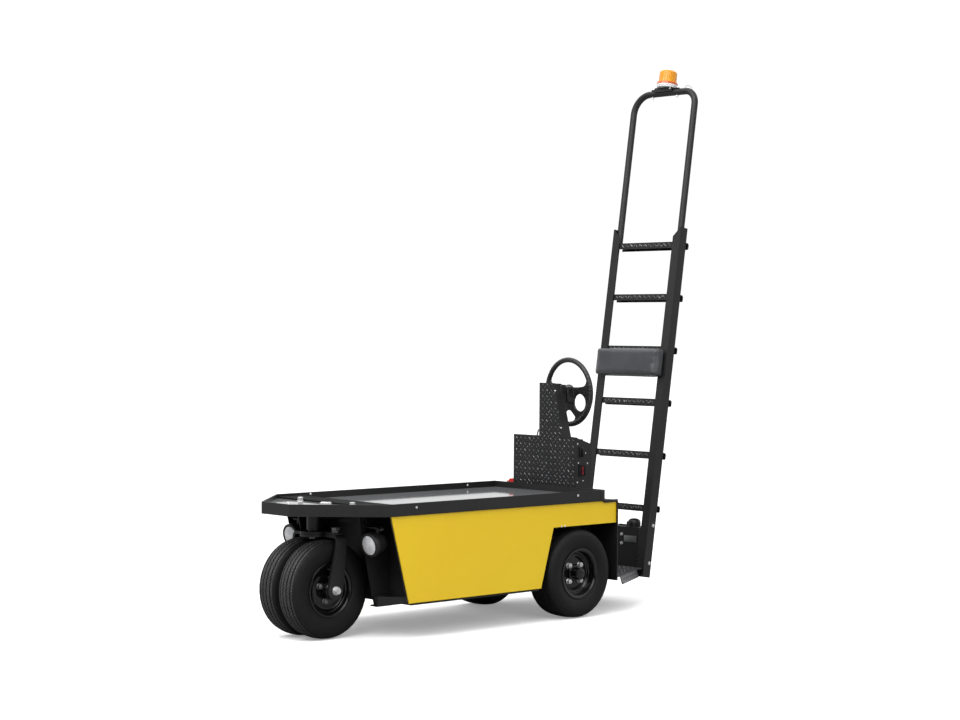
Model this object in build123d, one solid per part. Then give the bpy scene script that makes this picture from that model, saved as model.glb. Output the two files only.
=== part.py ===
from build123d import *
import os
from math import asin, atan, cos, degrees, hypot, radians, sin

# Stand-on three-wheeled stock truck with a flat deck, a ladder at the rear
# and a pair of steered wheels under the nose.  Millimetres, +X forward,
# +Y to the vehicle's left, +Z up, floor at z = 0.
# Lengths along X below are measured from the rear axle and moved by AXLE_X
# at the end, so that the origin is under the middle of the whole vehicle.

# ---------------------------------------------------------------- dimensions
AXLE_X = -226.565          # rear axle in the part's frame
WHEELBASE = 1272.0

# wheels: 8 inch rims
F_TYRE_R, F_TYRE_HALF, F_TWIN_Y = 210.0, 58.0, 68.0
R_TYRE_R, R_TYRE_HALF, R_TYRE_Y = 204.0, 80.0, 287.0
RIM_BARREL_R, RIM_FLANGE_R = 103.0, 116.5
TYRE_GAP = 0.3             # between a tyre's bead and its rim
AXLE_PIN_R = 12.65         # front axle
RUN_GAP = 0.06             # radial running clearance

# deck
DECK_REAR, DECK_SHOULDER, DECK_FRONT = -152.0, 1189.0, 1480.0
DECK_HALF, NOSE_HALF = 366.0, 94.0
RIM_TOP, RIM_H, RIM_T, RIM_LEG = 581.5, 51.0, 5.0, 40.0
RIM_BOT = RIM_TOP - RIM_H
SHEET_T, NOSE_SHEET_T = 17.0, 11.0
NOSE_SHEET_Z1 = 563.5
CROSS_REAR, CROSS_T = 1060.0, 7.0

# body
FLOOR_Z0, FLOOR_T = 146.0, 6.0
TUB_REAR, TUB_FRONT, TUB_HALF, WALL = 254.0, 1021.0, 346.0, 6.0
PANEL_Y0, PANEL_Y1 = 353.0, 358.0
BULK_X0, BULK_X1 = -245.0, -239.0
LEDGE_T = 6.0
HORN_Y0, HORN_Y1 = 204.0, 210.0
HOUSING_Y0, HOUSING_Y1 = 190.0, 195.0

# fork
FORK_LEG_Y0, FORK_LEG_Y1 = 139.0, 151.0
FORK_BACK, FORK_AHEAD, FORK_EYE_R, BOSS_R = 59.0, -6.0, 40.0, 58.0   # legs at the crown, round the axle
CROWN_Z0, CROWN_Z1 = 430.0, 442.0
STEM_R, HEAD_R = 24.0, 30.0
HEAD_Z0, HEAD_Z1 = 458.0, 520.5

# operator's floor
STEP_Z0, STEP_Z1 = 168.0, 174.0
STEP_REAR = -583.0

# ladder: it leans back, measured in its own plane
LEAN = atan(0.152)
LADDER_X0 = -560.0         # front face at floor level
LADDER_HALF = 222.0
ANGLE_LEG, ANGLE_FRONT, ANGLE_T = 51.0, 46.0, 6.0
LADDER_FOOT, LADDER_TOP = 133.0, 1847.0
RUNG_FIRST, RUNG_PITCH, RUNG_COUNT = 464.0, 259.3, 6
RUNG_H, RUNG_DEPTH, RUNG_T = 30.0, 69.0, 4.0
HOOP_R, HOOP_Y, HOOP_TOP = 16.5, 199.2, 2539.0
HOOP_BEND_L, HOOP_BEND_R = 68.0, 98.0       # the hoop's two top corners
HOOP_X = -6.0 - RUNG_T - 17.5

# console and steering wheel
PLATE_X, PLATE_T = -170.0, 4.0
CON_REAR, CON_TOP, CON_TOP_REAR = -277.0, 812.0, 779.0
CON_Y0, CON_Y1 = -250.0, 162.0
TOWER_TOP = 1062.0
WHEEL_C = (-300.0, -10.5, 1020.0)
WHEEL_TILT, WHEEL_YAW = 1.7, -4.3
WHEEL_R, WHEEL_TUBE, WHEEL_HUB_R = 154.0, 12.6, 36.0
COLUMN_R, SHAFT_R = 40.0, 10.0

parts = {}


# ------------------------------------------------------------------- helpers
def block(x0, x1, y0, y1, z0, z1):
    return Pos((x0 + x1) / 2, (y0 + y1) / 2, (z0 + z1) / 2) * Box(
        abs(x1 - x0), abs(y1 - y0), abs(z1 - z0))


def face_of(points):
    return make_face(Polyline(*points, close=True))


def prism_xy(pts, z0, z1):
    return extrude(face_of([(x, y, z0) for x, y in pts]), amount=z1 - z0, dir=(0, 0, 1))


def prism_xz(pts, y0, y1):
    return extrude(face_of([(x, y0, z) for x, z in pts]), amount=y1 - y0, dir=(0, 1, 0))


def prism_yz(pts, x0, x1):
    return extrude(face_of([(x0, y, z) for y, z in pts]), amount=x1 - x0, dir=(1, 0, 0))


def rod(a, b, r):
    a, b = Vector(*a), Vector(*b)
    d = b - a
    return Plane(a, z_dir=d) * Cylinder(r, d.length, align=(Align.CENTER, Align.CENTER, Align.MIN))


def wheel_ring(edges, x, y, z):
    """Revolve a closed (offset along the axle, radius) profile about a wheel axis."""
    f = make_face(edges)
    ring = revolve(f, Axis.X, 360)
    return Pos(x, y, z) * (Rot(0, 0, 90) * ring)


def mirror_y(s):
    return mirror(s, about=Plane.XZ)


def both(s):
    return [s, mirror_y(s)]


def on_ladder(s):
    """From the ladder's own frame (x out of its front, z up its length)."""
    return Pos(LADDER_X0, 0, 0) * (Rot(0, -degrees(LEAN), 0) * s)


def put(name, *solids):
    parts[name] = list(solids)


# -------------------------------------------------------------------- wheels
def tyre(bead, flange, side, shoulder, tread, crown):
    """Each pair is (offset from the tyre's middle, radius)."""
    r0 = RIM_BARREL_R + TYRE_GAP
    neg = lambda p: (-p[0], p[1])
    return [
        Line((-bead, r0), (bead, r0)),
        Line((bead, r0), flange),
        ThreePointArc(flange, side, shoulder),
        Line(shoulder, tread),
        ThreePointArc(tread, crown, neg(tread)),
        Line(neg(tread), neg(shoulder)),
        ThreePointArc(neg(shoulder), neg(side), neg(flange)),
        Line(neg(flange), (-bead, r0)),
    ]


F_TYRE = tyre(45, (46, 118), (F_TYRE_HALF, 158), (51, 196), (43, 204), (0, F_TYRE_R))
R_TYRE = tyre(66, (67, 118), (R_TYRE_HALF, 155), (72, 188), (58, 199.5), (0, R_TYRE_R))


def rim(bead, disc0, disc1, bore):
    """Barrel with two flanges and a disc between disc0 and disc1."""
    b, i, t = bead + TYRE_GAP, RIM_BARREL_R - 4, 4
    pts = [(-b - t, RIM_FLANGE_R), (-b, RIM_FLANGE_R), (-b, RIM_BARREL_R), (b, RIM_BARREL_R),
           (b, RIM_FLANGE_R), (b + t, RIM_FLANGE_R), (b + t, i), (disc1, i), (disc1, bore),
           (disc0, bore), (disc0, i), (-b - t, i)]
    return Polyline(*pts, close=True)


def axle_ring(profile, x, y, z):
    return wheel_ring(profile, x, y, z)


AX_F = (WHEELBASE, F_TYRE_R)
tyres_f, rims_f = [], []
HUB_R, FLANGE_R, FLANGE_Y = 34.0, 66.0, 90.0
for side in (1, -1):
    t = axle_ring(F_TYRE, WHEELBASE, 0, F_TYRE_R)
    r = axle_ring(rim(46, 22, 27, HUB_R + 0.3), WHEELBASE, 0, F_TYRE_R)
    t, r = Pos(0, F_TWIN_Y, 0) * t, Pos(0, F_TWIN_Y, 0) * r
    tyres_f.append(t if side > 0 else mirror_y(t))
    rims_f.append(r if side > 0 else mirror_y(r))
put("front_tyres", *tyres_f)
put("front_rims", *rims_f)

hub = rod((WHEELBASE, -131, F_TYRE_R), (WHEELBASE, 131, F_TYRE_R), HUB_R)
for s in (1, -1):
    hub += rod((WHEELBASE, s * (FLANGE_Y - 8), F_TYRE_R), (WHEELBASE, s * FLANGE_Y, F_TYRE_R), FLANGE_R)
hub -= rod((WHEELBASE, -140, F_TYRE_R), (WHEELBASE, 140, F_TYRE_R), AXLE_PIN_R + RUN_GAP)
put("front_hub", hub)

R_DISC0, R_DISC1, R_HUB_END, R_HUB_Y = 24.0, 29.0, 27.0, 362.0
for name, s in (("left", 1), ("right", -1)):
    t = Pos(0, R_TYRE_Y, 0) * axle_ring(R_TYRE, 0, 0, R_TYRE_R)
    w = Pos(0, R_TYRE_Y, 0) * axle_ring(rim(67, R_DISC0, R_DISC1, HUB_R + 0.3), 0, 0, R_TYRE_R)
    yd = R_TYRE_Y + R_DISC0
    h = rod((0, 206, R_TYRE_R), (0, yd, R_TYRE_R), 55) + rod((0, yd - 10, R_TYRE_R), (0, yd, R_TYRE_R), FLANGE_R)
    h += rod((0, yd, R_TYRE_R), (0, yd + 14, R_TYRE_R), HUB_R) + rod((0, yd, R_TYRE_R), (0, R_HUB_Y, R_TYRE_R), R_HUB_END)
    h += rod((0, 120, R_TYRE_R), (0, 206, R_TYRE_R), 15)
    if s < 0:
        t, w, h = mirror_y(t), mirror_y(w), mirror_y(h)
    put("rear_tyre_" + name, t)
    put("rear_rim_" + name, w)
    put("rear_hub_" + name, h)

# ------------------------------------------------------------ fork and axle
leg_h = BOSS_R + 2
outer = [(-FORK_LEG_Y1, 150), (-FORK_LEG_Y1, CROWN_Z1), (FORK_LEG_Y1, CROWN_Z1), (FORK_LEG_Y1, 150)]
inner = [(-FORK_LEG_Y0, 140), (-FORK_LEG_Y0, CROWN_Z0), (FORK_LEG_Y0, CROWN_Z0), (FORK_LEG_Y0, 140)]
yoke = prism_yz(outer, WHEELBASE - leg_h, WHEELBASE + leg_h)
yoke = fillet(yoke.edges().filter_by(Axis.X).group_by(Axis.Z)[-1], 26)
hollow = prism_yz(inner, WHEELBASE - leg_h - 5, WHEELBASE + leg_h + 5)
hollow = fillet(hollow.edges().filter_by(Axis.X).group_by(Axis.Z)[-1], 14)
yoke -= hollow
# side outline of the legs: set back under the crown, round at the axle; a boss carries the stem
leg_side = prism_xz([(WHEELBASE - FORK_BACK, 460), (WHEELBASE - FORK_BACK, 415), (WHEELBASE - FORK_EYE_R, F_TYRE_R),
                     (WHEELBASE + FORK_EYE_R, F_TYRE_R), (WHEELBASE + FORK_AHEAD, 415), (WHEELBASE + FORK_AHEAD, 460)],
                    -200, 200)
leg_side += rod((WHEELBASE, -200, F_TYRE_R), (WHEELBASE, 200, F_TYRE_R), FORK_EYE_R)
yoke = (yoke & leg_side) + rod((WHEELBASE, 0, CROWN_Z0), (WHEELBASE, 0, CROWN_Z1), BOSS_R)
yoke -= rod((WHEELBASE, -200, F_TYRE_R), (WHEELBASE, 200, F_TYRE_R), AXLE_PIN_R + RUN_GAP)
put("fork_yoke", yoke)

stem = rod((WHEELBASE, 0, CROWN_Z1), (WHEELBASE, 0, CROWN_Z1 + 9), BOSS_R)
stem += rod((WHEELBASE, 0, CROWN_Z1), (WHEELBASE, 0, HEAD_Z1 - 6), STEM_R)
put("fork_stem", stem)
arm = block(WHEELBASE - 46, WHEELBASE - 8, 60, 136, CROWN_Z1, CROWN_Z1 + 9) + rod(
    (WHEELBASE - 27, 112, CROWN_Z1 + 9), (WHEELBASE - 27, 112, CROWN_Z1 + 34), 13)
put("steering_arm", arm)

axle = rod((WHEELBASE, -170, F_TYRE_R), (WHEELBASE, 170, F_TYRE_R), AXLE_PIN_R)
for s in (1, -1):
    nut = extrude(RegularPolygon(17, 6), amount=13)
    nut = Pos(WHEELBASE, FORK_LEG_Y1, F_TYRE_R) * (Rot(-90, 0, 0) * nut)
    axle += nut if s > 0 else mirror_y(nut)
put("front_axle", axle)

# ---------------------------------------------------------------- the body
tub = block(TUB_REAR, TUB_FRONT, -TUB_HALF, TUB_HALF, FLOOR_Z0, FLOOR_Z0 + FLOOR_T)
for x0 in (TUB_REAR, TUB_FRONT - WALL):
    tub += block(x0, x0 + WALL, -TUB_HALF, TUB_HALF, FLOOR_Z0, RIM_BOT)
put("battery_tray", tub)
put("battery_pack", block(300, 975, -300, 300, FLOOR_Z0 + FLOOR_T, 425))

# painted side panel: (x, z) round its outline
PANEL = [(1145, 528), (1042, 157), (252, 157), (175, 425), (-238.5, 425), (-238.5, 524), (-146, 524),
         (-146, 528)]
put("side_panels", *both(prism_xz(PANEL, PANEL_Y0, PANEL_Y1)))

bulkhead = block(BULK_X0, BULK_X1, -366, 366, STEP_Z0 - 13, RIM_BOT - LEDGE_T)
put("rear_bulkhead", bulkhead)
ledge = block(BULK_X0, DECK_REAR + 5, -362, 362, RIM_BOT - LEDGE_T, RIM_BOT)
put("rear_ledge", ledge)

# wheel housings: an inner wall and a roof over each rear wheel
housing = block(BULK_X1, TUB_REAR, HOUSING_Y0, HOUSING_Y1, 262, 524)
housing += block(BULK_X1, 196, HOUSING_Y1, PANEL_Y0, 428, 433)
put("wheel_housings", *both(housing))

# horns that carry the nose, the lamps and the steering head: (x, z) outline,
# with a foot turned inward and a rail along the outside of the foot
HORN = [(TUB_FRONT, 134), (TUB_FRONT, RIM_BOT), (1199, RIM_BOT), (1194, 503), (1120, 183), (1105, 134)]
horn = prism_xz(HORN, HORN_Y0, HORN_Y1) + block(TUB_FRONT, 1103, HORN_Y0 - 28, HORN_Y0, 134, 140)
horn += prism_xz([(TUB_FRONT, 134), (TUB_FRONT, 180), (1117, 180), (1105, 134)], HORN_Y1, HORN_Y1 + 12)
put("frame_horns", *both(horn))

head = block(1070, 1194, -HORN_Y0, HORN_Y0, HEAD_Z1, RIM_BOT)
head += block(1194, 1350, -66, 66, HEAD_Z1, RIM_BOT)
head += rod((WHEELBASE, 0, HEAD_Z0), (WHEELBASE, 0, HEAD_Z1), HEAD_R)
head += block(TUB_FRONT, WHEELBASE - 20, -5, 5, 488, HEAD_Z1)
for s in (1, -1):
    head += block(1140, 1148, s * 5, s * HORN_Y0, 488, HEAD_Z1)
head -= rod((WHEELBASE, 0, HEAD_Z0 - 5), (WHEELBASE, 0, HEAD_Z1), STEM_R + RUN_GAP)
put("steering_head", head)

# ---------------------------------------------------------------------- deck
rim_solid = block(DECK_REAR, DECK_SHOULDER, -DECK_HALF, DECK_HALF, RIM_BOT, RIM_TOP)
rim_solid -= block(DECK_REAR + RIM_T, DECK_SHOULDER + 5, -DECK_HALF + RIM_T, DECK_HALF - RIM_T,
                   RIM_BOT + RIM_T, RIM_TOP + 5)
rim_solid -= block(DECK_REAR + RIM_LEG, DECK_SHOULDER + 5, -DECK_HALF + RIM_LEG, DECK_HALF - RIM_LEG,
                   RIM_BOT - 5, RIM_BOT + 10)
put("deck_rim", rim_solid)

NOSE_LEN, NOSE_SLANT = DECK_FRONT - DECK_SHOULDER, DECK_HALF - NOSE_HALF
_L = hypot(NOSE_LEN, NOSE_SLANT)


def nose_outline(inset):
    """Trapezium of the nose, set in by the same distance from its three outer sides."""
    dy = inset * _L / NOSE_LEN
    slope = NOSE_SLANT / NOSE_LEN
    xf = DECK_FRONT - inset
    half = lambda x: DECK_HALF - dy - slope * (x - DECK_SHOULDER)
    a, b = half(DECK_SHOULDER), half(xf)
    return [(DECK_SHOULDER, -a), (xf, -b), (xf, b), (DECK_SHOULDER, a)]


nose = prism_xy(nose_outline(0), RIM_BOT, RIM_TOP)
nose -= prism_xy(nose_outline(RIM_T), RIM_BOT + RIM_T, RIM_TOP + 5)
nose -= prism_xy(nose_outline(RIM_LEG), RIM_BOT - 5, RIM_BOT + 10)
put("nose_rim", nose)

SHEET_Z0, SHEET_Z1 = RIM_BOT + RIM_T, RIM_BOT + RIM_T + SHEET_T
deck_sheet = block(DECK_REAR + RIM_T, CROSS_REAR, -DECK_HALF + RIM_T, DECK_HALF - RIM_T, SHEET_Z0, SHEET_Z1)
# the nose sheet lies higher and runs back under the cross plate
nose_sheet = prism_xy(nose_outline(RIM_T), NOSE_SHEET_Z1 - NOSE_SHEET_T, NOSE_SHEET_Z1)
put("deck_sheets", deck_sheet, nose_sheet)

# cross plate over the joint of deck and nose, folded down to the deck at its rear
cross_half = DECK_HALF - RIM_T
cross = block(CROSS_REAR, DECK_SHOULDER, -cross_half, cross_half, NOSE_SHEET_Z1, NOSE_SHEET_Z1 + CROSS_T)
cross += block(CROSS_REAR, CROSS_REAR + RIM_T, -cross_half, cross_half, SHEET_Z0, NOSE_SHEET_Z1)
cross += block(DECK_SHOULDER - RIM_T, DECK_SHOULDER, -cross_half, cross_half, SHEET_Z0, NOSE_SHEET_Z1)
put("deck_cross_plate", cross)

# ------------------------------------------------------------------ drive line
case = rod((0, -62, R_TYRE_R), (0, 62, R_TYRE_R), 92) + rod((0, 0, R_TYRE_R), (102, 0, R_TYRE_R), 62)
for s in (1, -1):
    case += rod((0, 0, R_TYRE_R), (0, s * 199, R_TYRE_R), 32)
    case -= rod((0, s * 112, R_TYRE_R), (0, s * 210, R_TYRE_R), 15 + RUN_GAP)
put("axle_housing", case)
put("drive_motor", rod((102, 0, R_TYRE_R), (246, 0, R_TYRE_R), 84))

# leaf packs: (half length forward, half length rearward, underside height)
LEAVES = [(95, 85, 240), (165, 150, 246), (238, 222, 252)]
pack = block(-38, 38, 143, 187, 214, 240) - rod((0, 100, R_TYRE_R), (0, 250, R_TYRE_R), 32.3)
for ahead, behind, z in LEAVES:
    pack += block(-behind, ahead, 143, 187, z, z + 6)
for x0, x1 in ((222, 240), (-224, -206)):
    pack += block(x0, x1, 143, HOUSING_Y0, 252, 330)
put("leaf_springs", *both(pack))

# --------------------------------------------------------------- head lamps
LAMP = (1187.0, 265.0, 405.0)   # middle of the lens
LAMP_TILT = 10.0
# profile of the bowl: (behind the lens, radius)
BOWL = [(0, 46), (0, 52), (-16, 52), (-20, 49), (-58, 42), (-84, 28), (-98, 14), (-98, 0), (-6, 0), (-6, 46)]
bowl = revolve(face_of([(x, r, 0) for x, r in BOWL]), Axis.X, 360)
GLASS_R, GLASS_BULGE = 45.7, 8.0
cap_r = (GLASS_R ** 2 + GLASS_BULGE ** 2) / (2 * GLASS_BULGE)
half = asin(GLASS_R / cap_r) / 2
dome = ThreePointArc((0, GLASS_R), (GLASS_BULGE - cap_r * (1 - cos(half)), cap_r * sin(half)), (GLASS_BULGE, 0))
glass = revolve(make_face([Line((-5.7, 0), (-5.7, GLASS_R)), Line((-5.7, GLASS_R), (0, GLASS_R)), dome,
                           Line((GLASS_BULGE, 0), (-5.7, 0))]), Axis.X, 360)
lamp_at = Pos(*LAMP) * Rot(0, LAMP_TILT, 0)
bowl, glass = lamp_at * bowl, lamp_at * glass
bowl += rod((LAMP[0] - 46, LAMP[1], LAMP[2]), (LAMP[0] - 46, LAMP[1], 474), 9)
bowl += block(LAMP[0] - 66, LAMP[0] - 26, HORN_Y1, LAMP[1] + 18, 474, 479)
bowl += block(LAMP[0] - 66, LAMP[0] - 26, HORN_Y1, HORN_Y1 + 5, 479, 512)
put("headlights", *both(bowl))
put("headlight_lenses", *both(glass))

# --------------------------------------------------------- operator's floor
STEP_WIDE, STEP_NARROW, STEP_A, STEP_B = 357.0, 214.0, -276.0, -545.0
floor = prism_xy([(BULK_X0, -STEP_WIDE), (STEP_A, -STEP_WIDE), (STEP_B, -STEP_NARROW), (STEP_REAR, -STEP_NARROW),
                  (STEP_REAR, STEP_NARROW), (STEP_B, STEP_NARROW), (STEP_A, STEP_WIDE), (BULK_X0, STEP_WIDE)],
                 STEP_Z0, STEP_Z1)
ex, ey = STEP_B - STEP_A, STEP_NARROW - STEP_WIDE
el = hypot(ex, ey)
nx, ny = -ey / el, ex / el                      # points inward (towards -y, +x)
lip_out = Vector(-0.30 * nx, -0.30 * ny, -1.0)
lip_pts = [(STEP_A, STEP_WIDE), (STEP_B, STEP_NARROW), (STEP_B + 5 * nx, STEP_NARROW + 5 * ny),
           (STEP_A + 5 * nx, STEP_WIDE + 5 * ny)]
lip = extrude(face_of([(x, y, STEP_Z0) for x, y in lip_pts]), amount=36, dir=lip_out)
floor = floor + lip + mirror_y(lip)
put("operator_floor", floor)

FRAME_Y0, FRAME_Y1, FRAME_REAR = 112.0, 152.0, -690.0
frame = block(-636, -602, ANGLE_T - LADDER_HALF, LADDER_HALF - ANGLE_T, STEP_Z0 - 36, STEP_Z0)
for s in (1, -1):
    frame += block(FRAME_REAR, BULK_X0, s * FRAME_Y0, s * FRAME_Y1, STEP_Z0 - 36, STEP_Z0)
put("floor_frame", frame)

# pedals: (middle across the floor, half width)
PEDALS = [(110, 42), (-110, 38)]
PEDAL_SIDE = [(-345, STEP_Z1), (-345, 179), (-262, 240), (BULK_X0, 240), (BULK_X0, 230), (-258, 230), (-334, STEP_Z1)]
put("foot_pedals", *[prism_xz(PEDAL_SIDE, y - h, y + h) for y, h in PEDALS])

# rear equipment box standing on the floor frame, between the ladder's feet
BOX_Z1, BOX_REAR = 362.0, -694.0
rear_box = prism_xz([(-608, STEP_Z0), (-612, BOX_Z1), (BOX_REAR, BOX_Z1), (BOX_REAR, STEP_Z0)], -166, 166)
put("rear_box", rear_box)
# on its top: a round cap, and a lever bar with an upright stud
put("rear_box_fittings", rod((-660, 92, BOX_Z1), (-660, 92, BOX_Z1 + 18), 31),
    block(-666, -654, -4, 46, BOX_Z1, BOX_Z1 + 6) + rod((-660, 51, BOX_Z1), (-660, 51, BOX_Z1 + 21), 7))

# -------------------------------------------------------------------- ladder
web = block(-ANGLE_LEG, 0, LADDER_HALF - ANGLE_T, LADDER_HALF, LADDER_FOOT, LADDER_TOP)
front = prism_yz([(LADDER_HALF - ANGLE_FRONT, LADDER_FOOT), (LADDER_HALF - ANGLE_T, LADDER_FOOT),
                  (LADDER_HALF - ANGLE_T, LADDER_TOP - 4), (LADDER_HALF - ANGLE_FRONT, LADDER_TOP - 45)],
                 -ANGLE_T, 0)
put("ladder_rails", *[on_ladder(s) for s in both(web + front)])

rungs = []
rung_half = LADDER_HALF - ANGLE_T
for i in range(RUNG_COUNT):
    z = RUNG_FIRST + i * RUNG_PITCH + RUNG_H / 2
    x0, x1 = -ANGLE_T - RUNG_DEPTH, -ANGLE_T
    r = block(x0, x1, -rung_half, rung_half, z - RUNG_H, z)
    r -= block(x0 + RUNG_T, x1 - RUNG_T, -rung_half - 1, rung_half + 1, z - RUNG_H - 1, z - RUNG_T)
    rungs.append(on_ladder(r))
put("ladder_rungs", *rungs)

leg0 = RUNG_FIRST + (RUNG_COUNT - 1) * RUNG_PITCH + RUNG_H / 2
b, c = HOOP_BEND_R, HOOP_BEND_L
k, m = b * (1 - cos(radians(45))), c * (1 - cos(radians(45)))
hoop_path = Wire([
    Line((HOOP_X, -HOOP_Y, leg0), (HOOP_X, -HOOP_Y, HOOP_TOP - b)),
    ThreePointArc((HOOP_X, -HOOP_Y, HOOP_TOP - b), (HOOP_X, -HOOP_Y + k, HOOP_TOP - k), (HOOP_X, -HOOP_Y + b, HOOP_TOP)),
    Line((HOOP_X, -HOOP_Y + b, HOOP_TOP), (HOOP_X, HOOP_Y - c, HOOP_TOP)),
    ThreePointArc((HOOP_X, HOOP_Y - c, HOOP_TOP), (HOOP_X, HOOP_Y - m, HOOP_TOP - m), (HOOP_X, HOOP_Y, HOOP_TOP - c)),
    Line((HOOP_X, HOOP_Y, HOOP_TOP - c), (HOOP_X, HOOP_Y, leg0))])
hoop = sweep(Plane((HOOP_X, -HOOP_Y, leg0), z_dir=(0, 0, 1)) * Circle(HOOP_R), path=hoop_path)
put("ladder_hoop", on_ladder(hoop))

PAD_Z0, PAD_Z1, PAD_HALF, PAD_T = 1103.0, 1240.0, 204.0, 54.5
pad = Pos(PAD_T / 2 + 0.5, 0, (PAD_Z0 + PAD_Z1) / 2) * Box(PAD_T, 2 * PAD_HALF, PAD_Z1 - PAD_Z0)
pad = fillet(pad.edges().filter_by(Axis.Z).group_by(Axis.X)[-1], 28)
pad = fillet([e for g in (0, -1) for e in pad.edges().group_by(Axis.Z)[g] if e.center().X > 2], 12)
put("back_pad", on_ladder(pad))

# beacon on the hoop: a bracket of folded sheet, then base and lens,
# up the ladder's length
BEACON_Y, BRACKET_T, BRACKET_H, BRACKET_W, BRACKET_SKIRT = 5.0, 4.0, 8.0, 46.0, 14.0
b0 = HOOP_TOP + HOOP_R
bx0, bx1 = HOOP_X - BRACKET_W / 2, HOOP_X + BRACKET_W / 2
bracket = prism_yz([(-62, b0 - BRACKET_SKIRT), (-60, b0), (-54, b0 + BRACKET_H), (51, b0 + BRACKET_H), (57, b0),
                    (58, b0 - BRACKET_SKIRT)], bx0, bx1)
bracket -= block(bx0 + BRACKET_T, bx1 - BRACKET_T, -100, 100, b0 - BRACKET_SKIRT - 1, b0)
for y0, y1 in ((-82, -58), (54, 78)):           # a round-ended tab to each side
    tab = block(HOOP_X - 11, HOOP_X + 11, y0, y1, b0, b0 + BRACKET_T)
    bracket += tab + rod((HOOP_X, y0 if y0 < 0 else y1, b0), (HOOP_X, y0 if y0 < 0 else y1, b0 + BRACKET_T), 11)
put("beacon_bracket", on_ladder(bracket))
# (radius, from, to) above the bracket
z1 = b0 + BRACKET_H
stack = lambda rows: [rod((HOOP_X, BEACON_Y, z1 + lo_z), (HOOP_X, BEACON_Y, z1 + hi_z), r) for r, lo_z, hi_z in rows]
base = stack([(50, 0, 7), (52, 7, 16)])
put("beacon_base", on_ladder(base[0] + base[1]))
lens = stack([(53, 16, 27), (44.5, 27, 88)])
lens[1] = fillet(lens[1].edges().group_by(Axis.Z)[-1], 12)
put("beacon_lens", on_ladder(lens[0] + lens[1]))

# ------------------------------------------------------- console and column
PLATE = [(-253, RIM_BOT), (165, RIM_BOT), (165, 813), (76, 816), (20, 1065), (-81, 1065), (-81, 813), (-253, 813)]
put("console_plate", prism_yz(PLATE, PLATE_X - PLATE_T, PLATE_X))
CX = PLATE_X - PLATE_T
CON_SIDE = [(CX, RIM_BOT), (CX, CON_TOP), (CON_REAR, CON_TOP_REAR), (CON_REAR, RIM_BOT)]
CON_IN = [(CX + 1, RIM_BOT - 5), (CX + 1, CON_TOP - 3.4), (CON_REAR + 3, CON_TOP_REAR - 2.6), (CON_REAR + 3, RIM_BOT - 5)]
con_fill = prism_xz(CON_SIDE, CON_Y0, CON_Y1)
console = con_fill - prism_xz(CON_IN, CON_Y0 + 3, CON_Y1 - 3)
put("console_box", console)

slope = (CON_TOP - CON_TOP_REAR) / (CX - CON_REAR)
TB, TT = CX - 58, CX - 45
tow_side = [(CX, CON_TOP), (CX, TOWER_TOP), (TT, TOWER_TOP), (TB, CON_TOP - slope * (CX - TB))]
tow_front = [(-78, 780), (79, 780), (17, TOWER_TOP), (-78, TOWER_TOP)]
tower_fill = prism_xz(tow_side, -120, 120) & prism_yz(tow_front, TB - 5, CX + 5)
tow_side_in = [(CX + 1, CON_TOP - 20), (CX + 1, TOWER_TOP - 3), (TT + 3, TOWER_TOP - 3), (TB + 3, CON_TOP - 40)]
tow_front_in = [(-75, 700), (94, 700), (14, TOWER_TOP - 3), (-75, TOWER_TOP - 3)]
tower = tower_fill - (prism_xz(tow_side_in, -120, 120) & prism_yz(tow_front_in, TB - 5, CX + 5))

WC = Vector(*WHEEL_C)
_t, _y = radians(WHEEL_TILT), radians(WHEEL_YAW)
wa = Vector(-cos(_t) * cos(_y), -cos(_t) * sin(_y), sin(_t))   # towards the driver


def along(s):
    p = WC + wa * s
    return (p.X, p.Y, p.Z)


column = rod(along(-120), along(-52), COLUMN_R)
column -= prism_xz([(CX + 40, 700), (CX + 40, 1200)] + [
    (TT + (TOWER_TOP - 1200) / (TOWER_TOP - tow_side[3][1]) * (TB - TT), 1200),
    (TT + (TOWER_TOP - 700) / (TOWER_TOP - tow_side[3][1]) * (TB - TT), 700)], -200, 200)
column -= rod(along(-120), along(0), SHAFT_R + RUN_GAP)
put("steering_tower", tower)
put("steering_column", column)

wheel_plane = Plane(WC, x_dir=wa.cross(Vector(0, 0, 1)), z_dir=wa)
wheel_rim = wheel_plane * Torus(WHEEL_R, WHEEL_TUBE)
hub_w = rod(along(-46), along(8), WHEEL_HUB_R) + rod(along(-66), along(0), SHAFT_R)
# web of the wheel, seen from the driver with y down: round holes at the
# sides, a small opening below and a large one above
WEB_T, WEB_R = 9.0, WHEEL_R - 4
SIDE_HOLES, SIDE_HOLE_R = [(79, 49), (-79, 49)], 41.0
LOW_HOLE = [(-11, 88), (11, 88), (46, 118), (38, 134), (0, 142), (-38, 134), (-46, 118)]
TOP_HOLE = [(-132, -56), (-116, -34), (-70, -24), (70, -24), (116, -34), (132, -56), (132, -160), (-132, -160)]
web = Cylinder(WEB_R, WEB_T)
for x, y in SIDE_HOLES:
    web -= Pos(x, y, 0) * Cylinder(SIDE_HOLE_R, 3 * WEB_T)
web -= prism_xy(LOW_HOLE, -WEB_T, WEB_T)
web -= prism_xy(TOP_HOLE, -WEB_T, WEB_T) & Cylinder(WHEEL_R - WHEEL_TUBE - 0.6, 3 * WEB_T)
hub_w += wheel_plane * web
hub_w -= wheel_plane * Torus(WHEEL_R, WHEEL_TUBE + 0.2)
put("steering_wheel_rim", wheel_rim)
put("steering_wheel_hub", hub_w)

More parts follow.
